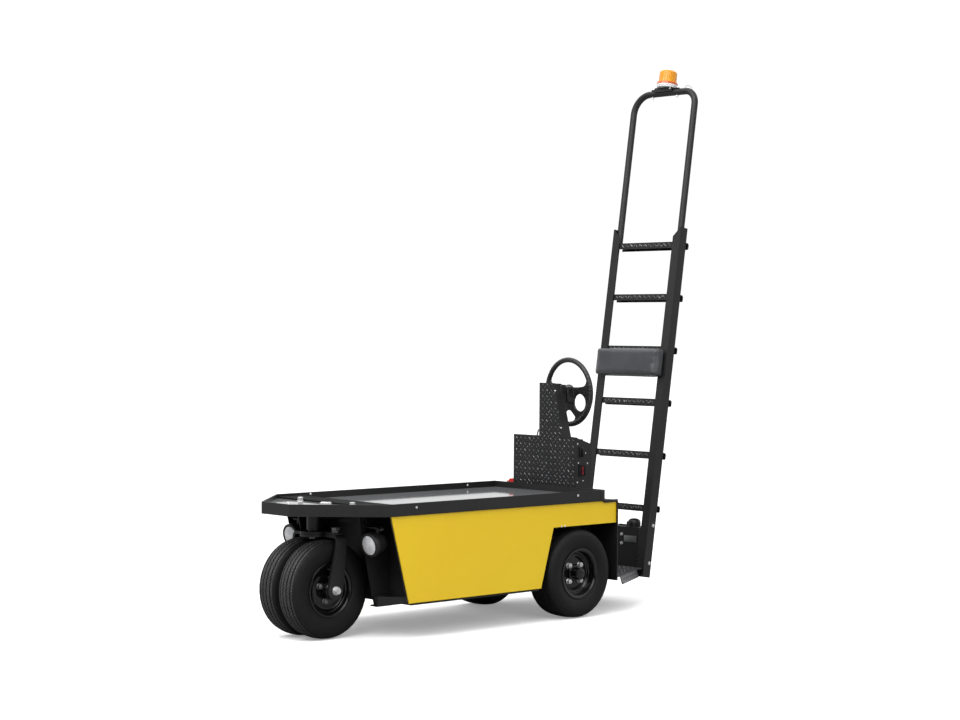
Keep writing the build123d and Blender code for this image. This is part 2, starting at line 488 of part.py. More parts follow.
# small controls: two on the left side of the console, a key switch and a
# button on its sloping top, and a direction lever beside the tower
top_at = lambda x: CON_TOP - slope * (CX - x)
small = [block(-221, -194, CON_Y1, CON_Y1 + 4, 716, 766), block(-234, -193, CON_Y1, CON_Y1 + 4, 628, 683)]
small += [rod((-248, -205, top_at(-248) - 12), (-248, -205, top_at(-248) + 16), 14) - con_fill,
          rod((-248, 112, top_at(-248) - 12), (-248, 112, top_at(-248) + 12), 17) - con_fill]
lever = rod((-222, -150, top_at(-222) - 12), (-222, -150, top_at(-222) + 9), 22)
lever += rod((-222, -150, top_at(-222)), (-229, -143, 838), 3)
small.append(lever - con_fill)
put("console_controls", *small)
put("charging_connector", block(-222, -184, -312, -264, RIM_BOT, 584) + block(-216, -190, -305, -271, 584, 592))

# ------------------------------------------------------------------ write out
os.makedirs("parts", exist_ok=True)
shift = Pos(AXLE_X, 0, 0)
lo, hi = [1e9] * 3, [-1e9] * 3
for name, solids in parts.items():
    flat = []
    for s in solids:
        flat += [shift * one for one in s.solids()]
    shape = flat[0] if len(flat) == 1 else Compound(children=flat)
    shape.label = name
    export_step(shape, os.path.join("parts", name + ".step"))
    bb = shape.bounding_box()
    for i, (a, c) in enumerate(zip((bb.min.X, bb.min.Y, bb.min.Z), (bb.max.X, bb.max.Y, bb.max.Z))):
        lo[i], hi[i] = min(lo[i], a), max(hi[i], c)
print("nodes", len(parts), "box", [round(v, 2) for v in lo], [round(v, 2) for v in hi],
      "middle x", round((lo[0] + hi[0]) / 2, 3))
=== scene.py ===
from math import asin, atan, cos, floor, hypot, pi, radians, sin, sqrt

import bmesh
import bpy
from mathutils import Matrix, Vector


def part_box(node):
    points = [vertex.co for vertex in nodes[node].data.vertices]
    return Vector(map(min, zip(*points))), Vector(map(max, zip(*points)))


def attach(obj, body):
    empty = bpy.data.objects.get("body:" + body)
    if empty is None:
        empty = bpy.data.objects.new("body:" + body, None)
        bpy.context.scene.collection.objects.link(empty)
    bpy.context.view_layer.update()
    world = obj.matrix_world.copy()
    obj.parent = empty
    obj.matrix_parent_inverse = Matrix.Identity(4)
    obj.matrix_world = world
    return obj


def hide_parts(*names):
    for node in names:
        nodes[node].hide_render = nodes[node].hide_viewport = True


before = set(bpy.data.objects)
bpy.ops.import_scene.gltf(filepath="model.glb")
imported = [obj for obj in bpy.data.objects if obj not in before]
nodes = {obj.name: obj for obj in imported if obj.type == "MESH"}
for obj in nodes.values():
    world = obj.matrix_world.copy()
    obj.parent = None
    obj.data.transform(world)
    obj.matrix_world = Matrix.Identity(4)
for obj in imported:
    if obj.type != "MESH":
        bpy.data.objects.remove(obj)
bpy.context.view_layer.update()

# Stand-on three-wheeled stock truck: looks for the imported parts, with the
# tyres, wheels, tread plate, fasteners, lamps, pad and wheel in full detail.
# Lengths are millimetres from the rear axle (x), the middle (y) and the
# floor (z), turned into metres of the shared frame by P().

_lo, _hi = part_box("rear_tyre_left")
AX = (_lo.x + _hi.x) / 2
X_, Y_, Z_ = Vector((1, 0, 0)), Vector((0, 1, 0)), Vector((0, 0, 1))


def P(x, y, z):
    return Vector((x / 1000 + AX, y / 1000, z / 1000))


LEAN, LADDER_X0 = atan(0.152), -560.0
LX = Vector((cos(LEAN), 0, sin(LEAN)))      # out of the ladder's front
LZ = Vector((-sin(LEAN), 0, cos(LEAN)))     # up its length


def L(x, y, z):
    return P(LADDER_X0, y, 0) + LX * (x / 1000) + LZ * (z / 1000)


# ------------------------------------------------------------------ materials
def srgb(r, g, b):
    f = lambda v: v / 12.92 if v <= 0.04045 else ((v + 0.055) / 1.055) ** 2.4
    return (f(r / 255), f(g / 255), f(b / 255), 1.0)


def material(name, dark, light, rough, rough_to, metallic=0.0, scale=5.0, fine=420.0, bump=0.2,
             depth=0.25, coat=0.0, coat_rough=0.08, specular=0.5, stretch=(1, 1, 1), grain="noise",
             worn=None, worn_from=0.68, worn_scale=60.0, extra=None):
    m = bpy.data.materials.new(name)
    m.use_nodes = True
    nt = m.node_tree
    nt.nodes.clear()
    new = nt.nodes.new
    out, bsdf = new("ShaderNodeOutputMaterial"), new("ShaderNodeBsdfPrincipled")
    nt.links.new(bsdf.outputs["BSDF"], out.inputs["Surface"])
    tex, mapping = new("ShaderNodeTexCoord"), new("ShaderNodeMapping")
    mapping.inputs["Scale"].default_value = stretch
    nt.links.new(tex.outputs["Object"], mapping.inputs["Vector"])

    def noise(s, detail=4.0, vec=mapping):
        n = new("ShaderNodeTexNoise")
        n.inputs["Scale"].default_value = s
        n.inputs["Detail"].default_value = detail
        n.inputs["Roughness"].default_value = 0.6
        nt.links.new(vec.outputs[0], n.inputs["Vector"])
        return n

    def ramp(src, a, b, ca, cb):
        r = new("ShaderNodeValToRGB")
        r.color_ramp.elements[0].position, r.color_ramp.elements[1].position = a, b
        r.color_ramp.elements[0].color, r.color_ramp.elements[1].color = ca, cb
        nt.links.new(src.outputs[0], r.inputs["Fac"])
        return r

    base = ramp(noise(scale, 6.0), 0.32, 0.68, dark, light)
    colour = base.outputs["Color"]
    if worn:
        mask = ramp(noise(worn_scale, 8.0), worn_from, worn_from + 0.05, (0, 0, 0, 1), (1, 1, 1, 1))
        mix = new("ShaderNodeMix")
        mix.data_type = "RGBA"
        nt.links.new(mask.outputs["Color"], mix.inputs[0])
        nt.links.new(colour, mix.inputs[6])
        mix.inputs[7].default_value = worn
        colour = mix.outputs[2]
    nt.links.new(colour, bsdf.inputs["Base Color"])
    rr = new("ShaderNodeMapRange")
    rr.inputs["From Min"].default_value, rr.inputs["From Max"].default_value = 0.3, 0.7
    rr.inputs["To Min"].default_value, rr.inputs["To Max"].default_value = rough, rough_to
    nt.links.new(noise(scale * 4.3, 5.0).outputs[0], rr.inputs["Value"])
    nt.links.new(rr.outputs[0], bsdf.inputs["Roughness"])
    if grain == "voronoi":
        g = new("ShaderNodeTexVoronoi")
        g.inputs["Scale"].default_value = fine
        nt.links.new(mapping.outputs[0], g.inputs["Vector"])
    else:
        g = noise(fine, 3.0)
    b = new("ShaderNodeBump")
    b.inputs["Strength"].default_value = bump
    b.inputs["Distance"].default_value = depth / 1000
    nt.links.new(g.outputs[0], b.inputs["Height"])
    nt.links.new(b.outputs["Normal"], bsdf.inputs["Normal"])
    bsdf.inputs["Metallic"].default_value = metallic
    bsdf.inputs["Coat Weight"].default_value = coat
    bsdf.inputs["Coat Roughness"].default_value = coat_rough
    bsdf.inputs["Specular IOR Level"].default_value = specular
    for key, value in (extra or {}).items():
        bsdf.inputs[key].default_value = value
    return m


M_BLACK = material("black_powder_coat", srgb(19, 19, 20), srgb(26, 26, 27), 0.38, 0.50, scale=3.0, fine=520,
                   bump=0.22)
M_CROSS = material("textured_black", srgb(17, 17, 18), srgb(25, 25, 26), 0.86, 0.96, scale=14.0, fine=380, bump=0.6,
                   depth=0.6, specular=0.12)
M_TREAD = material("black_tread_plate", srgb(17, 18, 19), srgb(27, 27, 29), 0.28, 0.40, scale=7.0, fine=300,
                   bump=0.2, worn=srgb(50, 50, 52), worn_from=0.70, worn_scale=70)
M_LUG = material("tread_lugs", srgb(36, 37, 39), srgb(62, 62, 65), 0.22, 0.34, scale=40.0, fine=300,
                 bump=0.15, worn=srgb(152, 152, 155), worn_from=0.54, worn_scale=110)
M_STEP = material("step_tread_plate", srgb(52, 52, 55), srgb(86, 86, 90), 0.30, 0.45, scale=18.0, fine=350,
                  bump=0.25, worn=srgb(150, 150, 154), worn_from=0.6, worn_scale=90, metallic=0.35)
M_YELLOW = material("yellow_paint", srgb(243, 203, 18), srgb(247, 209, 24), 0.34, 0.44, scale=2.2, fine=260,
                    bump=0.10, depth=0.2, coat=0.2, coat_rough=0.25)
M_DECK = material("deck_sheet_grey", srgb(108, 109, 111), srgb(120, 121, 123), 0.05, 0.08, scale=9.0, fine=180,
                  bump=0.008, depth=0.05, stretch=(1, 6, 1), specular=0.26)
M_RUBBER = material("tyre_rubber", srgb(12, 12, 13), srgb(18, 18, 19), 0.58, 0.70, scale=8.0, fine=600, bump=0.3,
                    worn=srgb(24, 24, 24), worn_from=0.68, worn_scale=30, specular=0.30)
M_RIB = material("tyre_tread_rubber", srgb(38, 38, 39), srgb(58, 57, 56), 0.62, 0.78, scale=26.0, fine=700, bump=0.5,
                 worn=srgb(80, 78, 76), worn_from=0.64, worn_scale=80)
M_RIM = material("wheel_black", srgb(10, 10, 11), srgb(15, 15, 16), 0.13, 0.20, scale=10.0, fine=300, bump=0.08)
M_ZINC = material("zinc_fasteners", srgb(206, 206, 208), srgb(234, 234, 232), 0.26, 0.40, metallic=0.6, scale=60.0,
                  fine=900, bump=0.2, worn=srgb(120, 118, 112), worn_from=0.66, worn_scale=240)
M_DULL = material("dull_steel", srgb(110, 110, 111), srgb(150, 149, 148), 0.36, 0.50, metallic=0.9, scale=50.0, fine=700,
                  bump=0.3, worn=srgb(76, 71, 66), worn_from=0.66, worn_scale=200)
M_CAST = material("cast_case", srgb(44, 44, 46), srgb(64, 63, 62), 0.45, 0.62, metallic=0.5, scale=12.0, fine=260,
                  bump=0.6, depth=0.6, worn=srgb(88, 84, 78), worn_from=0.66)
M_BATTERY = material("battery_case", srgb(24, 24, 26), srgb(36, 36, 38), 0.5, 0.62, scale=6.0, fine=300, bump=0.3)
M_VINYL = material("black_vinyl", srgb(56, 57, 60), srgb(68, 69, 73), 0.30, 0.40, scale=9.0, fine=650, bump=0.28,
                   depth=0.3, grain="voronoi", worn=srgb(78, 78, 81), worn_from=0.72, worn_scale=25,
                   extra={"Sheen Weight": 0.08})
M_MOULD = material("moulded_plastic", srgb(16, 16, 17), srgb(25, 25, 26), 0.36, 0.50, scale=22.0, fine=480, bump=0.45,
                   depth=0.35, grain="voronoi")
M_GRIP = material("wheel_grip", srgb(20, 20, 22), srgb(40, 40, 42), 0.28, 0.44, scale=75.0, fine=170, bump=0.8,
                  depth=0.9, grain="voronoi", worn=srgb(86, 86, 88), worn_from=0.64, worn_scale=130)
M_BOX = material("equipment_case", srgb(13, 13, 14), srgb(20, 20, 21), 0.42, 0.56, scale=6.0, fine=380, bump=0.3,
                 worn=srgb(44, 44, 46), worn_from=0.74)
M_PLATE = material("blank_plate", srgb(112, 113, 114), srgb(140, 141, 141), 0.34, 0.46, metallic=0.7, scale=14.0,
                   fine=420, bump=0.25, stretch=(1, 1, 9))
M_RED = material("red_connector", srgb(176, 26, 22), srgb(206, 38, 30), 0.34, 0.46, scale=30.0, fine=400, bump=0.3)
M_GLOW = material("red_display", srgb(120, 16, 26), srgb(164, 26, 40), 0.3, 0.4, scale=40.0, fine=300, bump=0.1,
                  extra={"Emission Color": srgb(220, 30, 60), "Emission Strength": 0.08})
M_SCREEN = material("dark_screen", srgb(7, 7, 8), srgb(14, 8, 10), 0.20, 0.30, scale=60.0, fine=300, bump=0.03,
                    specular=0.12)
M_PALE = material("pale_base", srgb(214, 214, 216), srgb(234, 234, 236), 0.34, 0.46, scale=24.0, fine=420, bump=0.2)
M_AMBER = material("amber_lens", (1.0, 0.39, 0.012, 1), (1.0, 0.47, 0.020, 1), 0.10, 0.20, scale=28.0, fine=200,
                   bump=0.03, coat=0.15, extra={"Transmission Weight": 0.25, "IOR": 1.49})
M_FLANGE = material("amber_flange", srgb(196, 84, 30), srgb(224, 112, 44), 0.16, 0.28, scale=40.0, fine=200, bump=0.05,
                    coat=0.4)
# lamp glass: its near-white colour is a painted reflection, standing in for the glare of the silvered reflector and the
# highlights on the glass
M_LAMP_GLASS_PAINTED_REFLECTION = material("lamp_glass", srgb(206, 208, 211), srgb(244, 244, 246), 0.10, 0.22, metallic=0.15, scale=55.0,
                   fine=160, bump=0.25, depth=0.5, coat=1.0, coat_rough=0.04)
M_WIRE = material("grey_wire", srgb(120, 120, 122), srgb(150, 150, 152), 0.4, 0.5, scale=60.0, fine=600, bump=0.2)
M_FLOOR = material("pale_floor", (0.94, 0.94, 0.94, 1), (0.97, 0.97, 0.97, 1), 0.9, 1.0, scale=0.7, fine=60,
                   bump=0.03, specular=0.0)

NODE_LOOK = [
    (M_BLACK, "battery_tray deck_rim nose_rim frame_horns steering_head fork_yoke fork_stem "
              "steering_arm rear_bulkhead rear_ledge wheel_housings ladder_rails ladder_hoop floor_frame console_box "
              "steering_tower headlights beacon_bracket leaf_springs"),
    (M_CROSS, "deck_cross_plate"),
    (M_TREAD, "console_plate ladder_rungs"),
    (M_STEP, "operator_floor foot_pedals"),
    (M_YELLOW, "side_panels"), (M_DECK, "deck_sheets"), (M_RUBBER, "front_tyres rear_tyre_left rear_tyre_right"),
    (M_RIM, "front_rims rear_rim_left rear_rim_right front_hub rear_hub_left rear_hub_right"),
    (M_ZINC, "front_axle"), (M_CAST, "axle_housing drive_motor"), (M_BATTERY, "battery_pack"), (M_VINYL, "back_pad"),
    (M_MOULD, "steering_column steering_wheel_rim steering_wheel_hub console_controls"),
    (M_BOX, "rear_box rear_box_fittings"), (M_RED, "charging_connector"), (M_PALE, "beacon_base"),
    (M_AMBER, "beacon_lens"), (M_LAMP_GLASS_PAINTED_REFLECTION, "headlight_lenses"),
]
for look, names in NODE_LOOK:
    for n in names.split():
        for s in nodes[n].material_slots:
            s.material = look


# ---------------------------------------------------------------- mesh helpers
class Shape:
    """Collects many small forms into one mesh."""

    def __init__(self):
        self.verts, self.faces, self.slots = [], [], []

    def add(self, verts, faces, slot=0):
        n = len(self.verts)
        self.verts += [tuple(v) for v in verts]
        self.faces += [tuple(i + n for i in f) for f in faces]
        self.slots += [slot] * len(faces)

    def mesh(self, name, mats, sharp=38):
        me = bpy.data.meshes.new(name)
        me.from_pydata(self.verts, [], self.faces)
        for m in mats:
            me.materials.append(m)
        me.polygons.foreach_set("material_index", self.slots)
        me.polygons.foreach_set("use_smooth", [True] * len(self.faces))
        bm = bmesh.new()
        bm.from_mesh(me)
        bmesh.ops.recalc_face_normals(bm, faces=bm.faces)
        bm.to_mesh(me)
        bm.free()
        me.set_sharp_from_angle(angle=radians(sharp))
        return me

    def piece(self, name, body, *mats, sharp=38, replaces=(), slot=None):
        return place(name, self.mesh(name, mats, sharp), body, replaces)


def link(name, me):
    ob = bpy.data.objects.new(name, me)
    bpy.context.scene.collection.objects.link(ob)
    return ob


def place(name, me, body, replaces=()):
    ob = link(name, me)
    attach(ob, body)
    if replaces:
        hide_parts(*replaces)
    return ob


def axes(axis, ref=Z_):
    w = Vector(axis).normalized()
    if abs(w.dot(ref)) > 0.95:
        ref = X_
    u = (ref - w * ref.dot(w)).normalized()
    return u, w.cross(u), w


def turn(shape, o, axis, profile, seg=32, closed=True, slot=0, ref=Z_, wave=None):
    """Revolves (along, radius) points about an axis through o."""
    u, v, w = axes(axis, ref)
    n = len(profile)
    verts, faces = [], []
    for i in range(seg):
        t = 2 * pi * i / seg
        d = u * cos(t) + v * sin(t)
        for j, (a, r) in enumerate(profile):
            if wave:
                r += wave(i, j)
            verts.append(o + w * (a / 1000) + d * (r / 1000))
    for i in range(seg):
        k = (i + 1) % seg
        for j in range(n if closed else n - 1):
            l = (j + 1) % n
            faces.append((i * n + j, i * n + l, k * n + l, k * n + j))
    shape.add(verts, faces, slot)


def hexagon(shape, o, axis, flats, height, slot=0, ref=Z_, hole=0.0):
    """A hexagon head or nut with a chamfered top."""
    u, v, w = axes(axis, ref)
    big = flats / 2 / cos(pi / 6)
    c = min(1.6, height * 0.2)
    rows = [(0, big), (height - c, big), (height, big - 1.6 * c)]
    verts = [o + w * (a / 1000) + (u * cos(k * pi / 3) + v * sin(k * pi / 3)) * (r / 1000)
             for a, r in rows for k in range(6)]
    faces = [(i * 6 + k, i * 6 + (k + 1) % 6, i * 6 + 6 + (k + 1) % 6, i * 6 + 6 + k)
             for i in range(2) for k in range(6)]
    faces += [tuple(range(12, 18)), tuple(range(5, -1, -1))]
    shape.add(verts, faces, slot)
    if hole:
        turn(shape, o + w * (height / 1000), axis,
             [(-0.2, hole), (2.4, hole), (3.2, hole - 0.8), (3.2, 0.05)], 14, False, slot)


def washer(shape, o, axis, r, t=2.0, inner=4.0, slot=0):
    turn(shape, o, axis, [(0, inner), (0, r), (t * 0.7, r), (t, r - 0.5), (t, inner)], 28, True, slot)


def bolt(shape, o, axis, flats, height, wash=0.0, slot=0, ref=Z_, stud=0.0):
    w = Vector(axis).normalized()
    if wash:
        washer(shape, o, axis, wash, 2.2, flats * 0.25, slot)
        o = o + w * 0.0022
    hexagon(shape, o, axis, flats, height, slot, ref, stud)


def screw(shape, o, axis, r, h=None, slot=0):
    h = h or r * 0.62
    turn(shape, o, axis, [(-0.3, r), (h * 0.35, r), (h * 0.72, r * 0.86), (h * 0.94, r * 0.58), (h, r * 0.3),
                          (h * 0.62, r * 0.26), (h * 0.62, 0.05)], 16, False, slot)


def tube(shape, pts, r, seg=10, slot=0, caps=True):
    pts = [Vector(p) for p in pts]
    rows, prev = [], None
    for i, p in enumerate(pts):
        d = (pts[min(i + 1, len(pts) - 1)] - pts[max(i - 1, 0)]).normalized()
        if prev is None:
            u = axes(d)[0]
        else:
            u = (prev - d * prev.dot(d)).normalized()
        prev = u
        v = d.cross(u)
        rows.append([p + (u * cos(2 * pi * k / seg) + v * sin(2 * pi * k / seg)) * (r / 1000) for k in range(seg)])
    verts = [q for row in rows for q in row]
    faces = [(i * seg + k, i * seg + (k + 1) % seg, (i + 1) * seg + (k + 1) % seg, (i + 1) * seg + k)
             for i in range(len(rows) - 1) for k in range(seg)]
    if caps:
        faces += [tuple(range(seg - 1, -1, -1)), tuple(range(len(verts) - seg, len(verts)))]
    shape.add(verts, faces, slot)


def rbox(shape, c, size, bevel=1.0, rot=None, slot=0, segments=2):
    """A box with rounded edges, its middle at c."""
    bm = bmesh.new()
    bmesh.ops.create_cube(bm, size=1.0)
    bmesh.ops.scale(bm, vec=Vector(size) / 1000, verts=bm.verts)
    if bevel:
        bmesh.ops.bevel(bm, geom=bm.edges[:], offset=bevel / 1000, segments=segments, profile=0.5, affect="EDGES")
    bm.transform(Matrix.Translation(c) @ (rot.to_4x4() if rot else Matrix()))
    bm.verts.index_update()
    shape.add([v.co for v in bm.verts], [[v.index for v in f.verts] for f in bm.faces], slot)
    bm.free()


def frame_of(x, y, z):
    """Rotation whose columns are the three given directions."""
    return Matrix((x, y, z)).transposed()


LADDER_ROT = frame_of(LX, Y_, LZ)


def inside(poly, s, t):
    hit, n = False, len(poly)
    for i in range(n):
        (a, b), (c, d) = poly[i], poly[(i + 1) % n]
        if (b > t) != (d > t) and s < (c - a) * (t - b) / (d - b) + a:
            hit = not hit
    return hit


LUG = [(cos(k * pi / 5), sin(k * pi / 5) * (1 - 0.3 * abs(cos(k * pi / 5)))) for k in range(10)]


def lug(shape, c, u, v, n, angle, length=20.0, width=6.0, high=1.5, slot=0):
    e, f = u * cos(angle) + v * sin(angle), v * cos(angle) - u * sin(angle)
    verts = []
    for grow, up in ((1.0, -0.1), (0.86, 0.62), (0.55, 1.0)):
        verts += [c + e * (a * grow * length / 2000) + f * (b * grow * grow * width / 2000) + n * (up * high / 1000)
                  for a, b in LUG]
    faces = [(i * 10 + k, i * 10 + (k + 1) % 10, i * 10 + 10 + (k + 1) % 10, i * 10 + 10 + k)
             for i in range(2) for k in range(10)] + [tuple(range(20, 30))]
    shape.add(verts, faces, slot)


def tread(shape, o, u, v, n, poly, pitch=29.0, length=17.0, width=5.2, high=1.6, slot=0, keep=None):
    """Raised lugs in the usual crossed pattern over a flat outline (mm along u and v from o)."""
    s0, s1 = min(p[0] for p in poly), max(p[0] for p in poly)
    t0, t1 = min(p[1] for p in poly), max(p[1] for p in poly)
    ns, nt = int((s1 - s0) / pitch) + 1, max(1, int((t1 - t0) / pitch))
    strip = t1 - t0 < 1.2 * pitch
    for i in range(2 * ns + 1):
        for j in range(1 if strip else 2 * nt + 1):
            if not strip and (i + j) % 2:
                continue
            s = (s0 + s1) / 2 + (i - ns) * pitch / 2
            t = (t0 + t1) / 2 + (0 if strip else (j - nt) * pitch / 2)
            r = length * 0.36
            if all(inside(poly, s + a, t + b) for a, b in ((r, r), (r, -r), (-r, r), (-r, -r))):
                if keep is None or keep(s, t):
                    lug(shape, o + u * (s / 1000) + v * (t / 1000), u, v, n,
                        radians(45 if i % 2 else -45), length, width, high, slot)


# --------------------------------------------------------------------- tyres
def tri(t):
    return 4 * abs(t - floor(t + 0.5)) - 1


def tyre(shape, c, side, crown, drop, half, grooves, width, deep, zig, periods, seg, notch):
    """side: (offset, radius) from bead to tread edge; grooves: offsets across the tread."""
    rad = lambda a: crown - drop * (a / half) ** 2
    cols = [(a, r, 0, 0) for a, r in side]                 # offset, radius, zigzag, on the tread
    prev = half
    for g in grooves:
        cols += [((prev + g + width / 2) / 2, rad((prev + g + width / 2) / 2), 0, 1)]
        for a, d, top in ((g + width / 2, 0, 1), (g + width / 2 - 0.9, deep, 0), (g - width / 2 + 0.9, deep, 0),
                          (g - width / 2, 0, 1)):
            cols.append((a, rad(a) - d, 1, top))
        prev = g - width / 2
    cols += [((prev - half) / 2, rad((prev - half) / 2), 0, 1)]
    cols += [(-a, r, 0, 0) for a, r in reversed(side)]
    n = len(cols)
    verts, faces, slots = [], [], []
    edge = (len(side) - 3, len(side) - 2)
    for i in range(seg):
        t = 2 * pi * i / seg
        wave = zig * tri(periods * i / seg + 0.25)
        for j, (a, r, z, top) in enumerate(cols):
            if notch and (j in edge or n - 1 - j in edge) and i % 8 < 2:
                r -= notch
            verts.append(c + Vector((r * cos(t), a + z * wave, r * sin(t))) / 1000)
    for i in range(seg):
        k = (i + 1) % seg
        for j in range(n):
            l = (j + 1) % n
            faces.append((i * n + j, i * n + l, k * n + l, k * n + j))
            on_top = len(side) - 1 <= j < n - len(side) and (cols[j][3] or j == len(side) - 1) and (
                cols[l][3] or l == n - len(side))
            slots.append(1 if on_top else 0)
    base = len(shape.verts)
    shape.verts += [tuple(v) for v in verts]
    shape.faces += [tuple(q + base for q in f) for f in faces]
    shape.slots += slots


F_SIDE = [(44.4, 104), (46.2, 110), (46.5, 117.4), (48.6, 121), (51.0, 125.5), (51.9, 126.6), (52.2, 128.6), (53.0, 131),
          (55.0, 139), (56.8, 148), (57.8, 157), (57.6, 167), (56.4, 176), (56.5, 178.2), (55.6, 180.4), (54.3, 185.5),
          (52.6, 190.5), (50.6, 195.6), (48.2, 199.8), (45.6, 202.6), (43.0, 204.0)]
R_SIDE = [(65.4, 104), (67.2, 110), (67.5, 117.4), (69.8, 121.4), (72.4, 126), (73.3, 127), (73.8, 129), (75.0, 133),
          (77.4, 141), (79.2, 150), (79.9, 159), (79.2, 168), (77.6, 175), (77.6, 177), (76.6, 179.2), (74.8, 184),
          (72.2, 188.4), (68.6, 192.8), (64.4, 196.4), (61.0, 198.5), (58.0, 199.5)]
rubber = Shape()
for y in (68, -68):
    tyre(rubber, P(1272, y, 210), F_SIDE, 210, 6, 43, (31.5, 10.5, -10.5, -31.5), 6.2, 6.0, 3.0, 86, 344, 1.3)
rubber.piece("front_tyre_pair", "front_wheels", M_RUBBER, M_RIB, sharp=34, replaces=("front_tyres",), slot="tyre")
for name, y in (("left", 287), ("right", -287)):
    s = Shape()
    tyre(s, P(0, y, 204), R_SIDE, 204, 4.5, 58, (42, 14, -14, -42), 5.0, 4.0, 0.0, 1, 192, 0)
    s.piece("rear_tyre_%s_rubber" % name, "rear_wheel_" + name, M_RUBBER, M_RUBBER, sharp=34,
            replaces=("rear_tyre_" + name,), slot="tyre")


# -------------------------------------------------------------------- wheels
def wheel(shape, c, out, bead, disc, bore=34.6):
    """A pressed steel wheel: rolled flanges, stepped barrel and a dished disc. out is +1 or -1 along y."""
    b = bead + 0.3
    prof = [(b, 103.4), (b, 112), (b + 0.6, 115.2), (b + 1.8, 116.6), (b + 3.4, 116.2), (b + 4.4, 114), (b + 4.2, 110.4),
            (b + 2.6, 106), (b + 0.8, 102.6), (b - 2.5, 100.4), (b - 9, 99.4), (disc + 11, 98.2), (disc + 8.2, 96.4),
            (disc + 7.4, 92.0), (disc + 5.8, 90.0), (disc + 1.6, 88.6), (disc - 0.6, 86.4), (disc - 1.6, 82.0),
            (disc - 1.2, 77), (disc + 0.6, 71), (disc + 1.8, 67), (disc + 2.2, 62), (disc + 2.2, 42), (disc + 1.6, 39.2),
            (disc + 0.2, 37.4), (disc - 2, bore), (disc - 5, bore), (disc - 4.6, 80), (disc - 6, 88), (disc - 12, 92),
            (disc - 20, 98), (-b + 2.5, 99.4), (-b - 1, 102.6), (-b - 4.0, 110.4), (-b - 3.4, 116), (-b - 1.6, 116.6),
            (-b, 112), (-b, 103.4)]
    turn(shape, c, Y_ * out, prof, 96)
    return disc + 2.2


def lugnuts(shape, c, out, face, first=45.0):
    for k in range(4):
        t = radians(first + 90 * k)
        p = c + Vector((50.8 * cos(t), out * face, 50.8 * sin(t))) / 1000
        turn(shape, p, Y_ * out, [(-0.5, 13.2), (0.8, 13.2), (2.4, 11.2), (2.4, 2)], 24)
        hexagon(shape, p + Y_ * (out * 0.0022), Y_ * out, 20.6, 13.5, ref=Vector((cos(t), 0, sin(t))), hole=5.6)


steel, nuts = Shape(), Shape()
for s in (1, -1):
    c = P(1272, 68 * s, 210)
    lugnuts(nuts, c, s, wheel(steel, c, s, 46, 27), 20.0)
    # hub end: a bearing cap with a stepped rim
    turn(steel, P(1272, 131 * s, 210), Y_ * s, [(-36, 36.5), (-4, 36.5), (-1.6, 35.4), (0.4, 33), (0.4, 13.2), (-36, 13.2)], 48)
    turn(steel, P(1272, 90 * s, 210), Y_ * s, [(-0.5, 40), (3.5, 39.4), (5.2, 37.6), (5.2, 36.2), (-0.5, 36.2)], 48)
steel.piece("front_wheels_steel", "front_wheels", M_RIM, replaces=("front_rims",), slot="black_paint")
nuts_f = Shape()
for s in (1, -1):
    lugnuts(nuts_f, P(1272, 68 * s, 210), s, 29.2, 20.0)
nuts_f.piece("front_lug_nuts", "front_wheels", M_DULL, slot="bright_steel")
nuts = Shape()
for s in (1, -1):
    washer(nuts, P(1272, 151 * s, 210), Y_ * s, 18.8, 3.0, 12.8)
nuts.piece("front_axle_washers", "fork", M_ZINC, slot="bright_steel")

for name, s in (("left", 1), ("right", -1)):
    st, zn = Shape(), Shape()
    c = P(0, 287 * s, 204)
    lugnuts(zn, c, s, wheel(st, c, s, 67, 29), 45.0)
    # cap over the hub end, slightly wider than the hub itself
    turn(st, P(0, 362 * s, 204), Y_ * s, [(-50, 37.2), (-39, 36.6), (-37, 35.2), (-36, 32), (-35, 28.6), (-4, 27.6), (-1.2, 26.4),
                                         (0.8, 23), (1.3, 10), (1.3, 9), (0.3, 8.4), (0.3, 0.05)], 48, False)
    body = "rear_wheel_" + name
    st.piece("rear_wheel_steel_" + name, body, M_RIM, replaces=("rear_rim_" + name,), slot="black_paint")
    zn.piece("rear_lug_nuts_" + name, body, M_ZINC, slot="bright_steel")

# ------------------------------------------------------------- fork and steering
fork = Shape()
bolt(fork, P(1272, 0, 430), -Z_, 36, 12, wash=0)
turn(fork, P(1245, 112, 451), Z_, [(0, 13.2), (0, 15.5), (1.5, 17), (8, 17), (10, 13.2)], 28)
hexagon(fork, P(1245, 112, 461), Z_, 32, 13)
fork.piece("fork_fasteners", "fork", M_DULL, slot="bright_steel")
weld = Shape()


def bead(shape, a, b, r=3.2, step=4.0, slot=0):
    """A weld bead: a ripple of short overlapping rings from a to b."""
    n = max(3, int((b - a).length * 1000 / step))
    d = (b - a).normalized()
    u, v, w = axes(d)
    seg, rows = 8, 2 * n
    verts, faces = [], []
    for i in range(rows + 1):
        p = a + (b - a) * (i / rows)
        rr = r * (1.0 if i % 2 else 0.84) * (0.5 if i in (0, rows) else 1)
        verts += [p + (u * cos(2 * pi * k / seg) + v * sin(2 * pi * k / seg)) * (rr / 1000) for k in range(seg)]
    for i in range(rows):
        faces += [(i * seg + k, i * seg + (k + 1) % seg, (i + 1) * seg + (k + 1) % seg, (i + 1) * seg + k) for k in range(seg)]
    faces += [tuple(range(seg - 1, -1, -1)), tuple(range(rows * seg, rows * seg + seg))]
    shape.add(verts, faces, slot)


ring = [P(1272 + 58 * cos(t), 58 * sin(t), 442) for t in [2 * pi * k / 24 for k in range(25)]]
fork_weld = Shape()
for a, b in zip(ring, ring[1:]):
    bead(fork_weld, a, b, 2.6)
fork_weld.piece("fork_welds", "fork", M_BLACK, slot="black_paint")

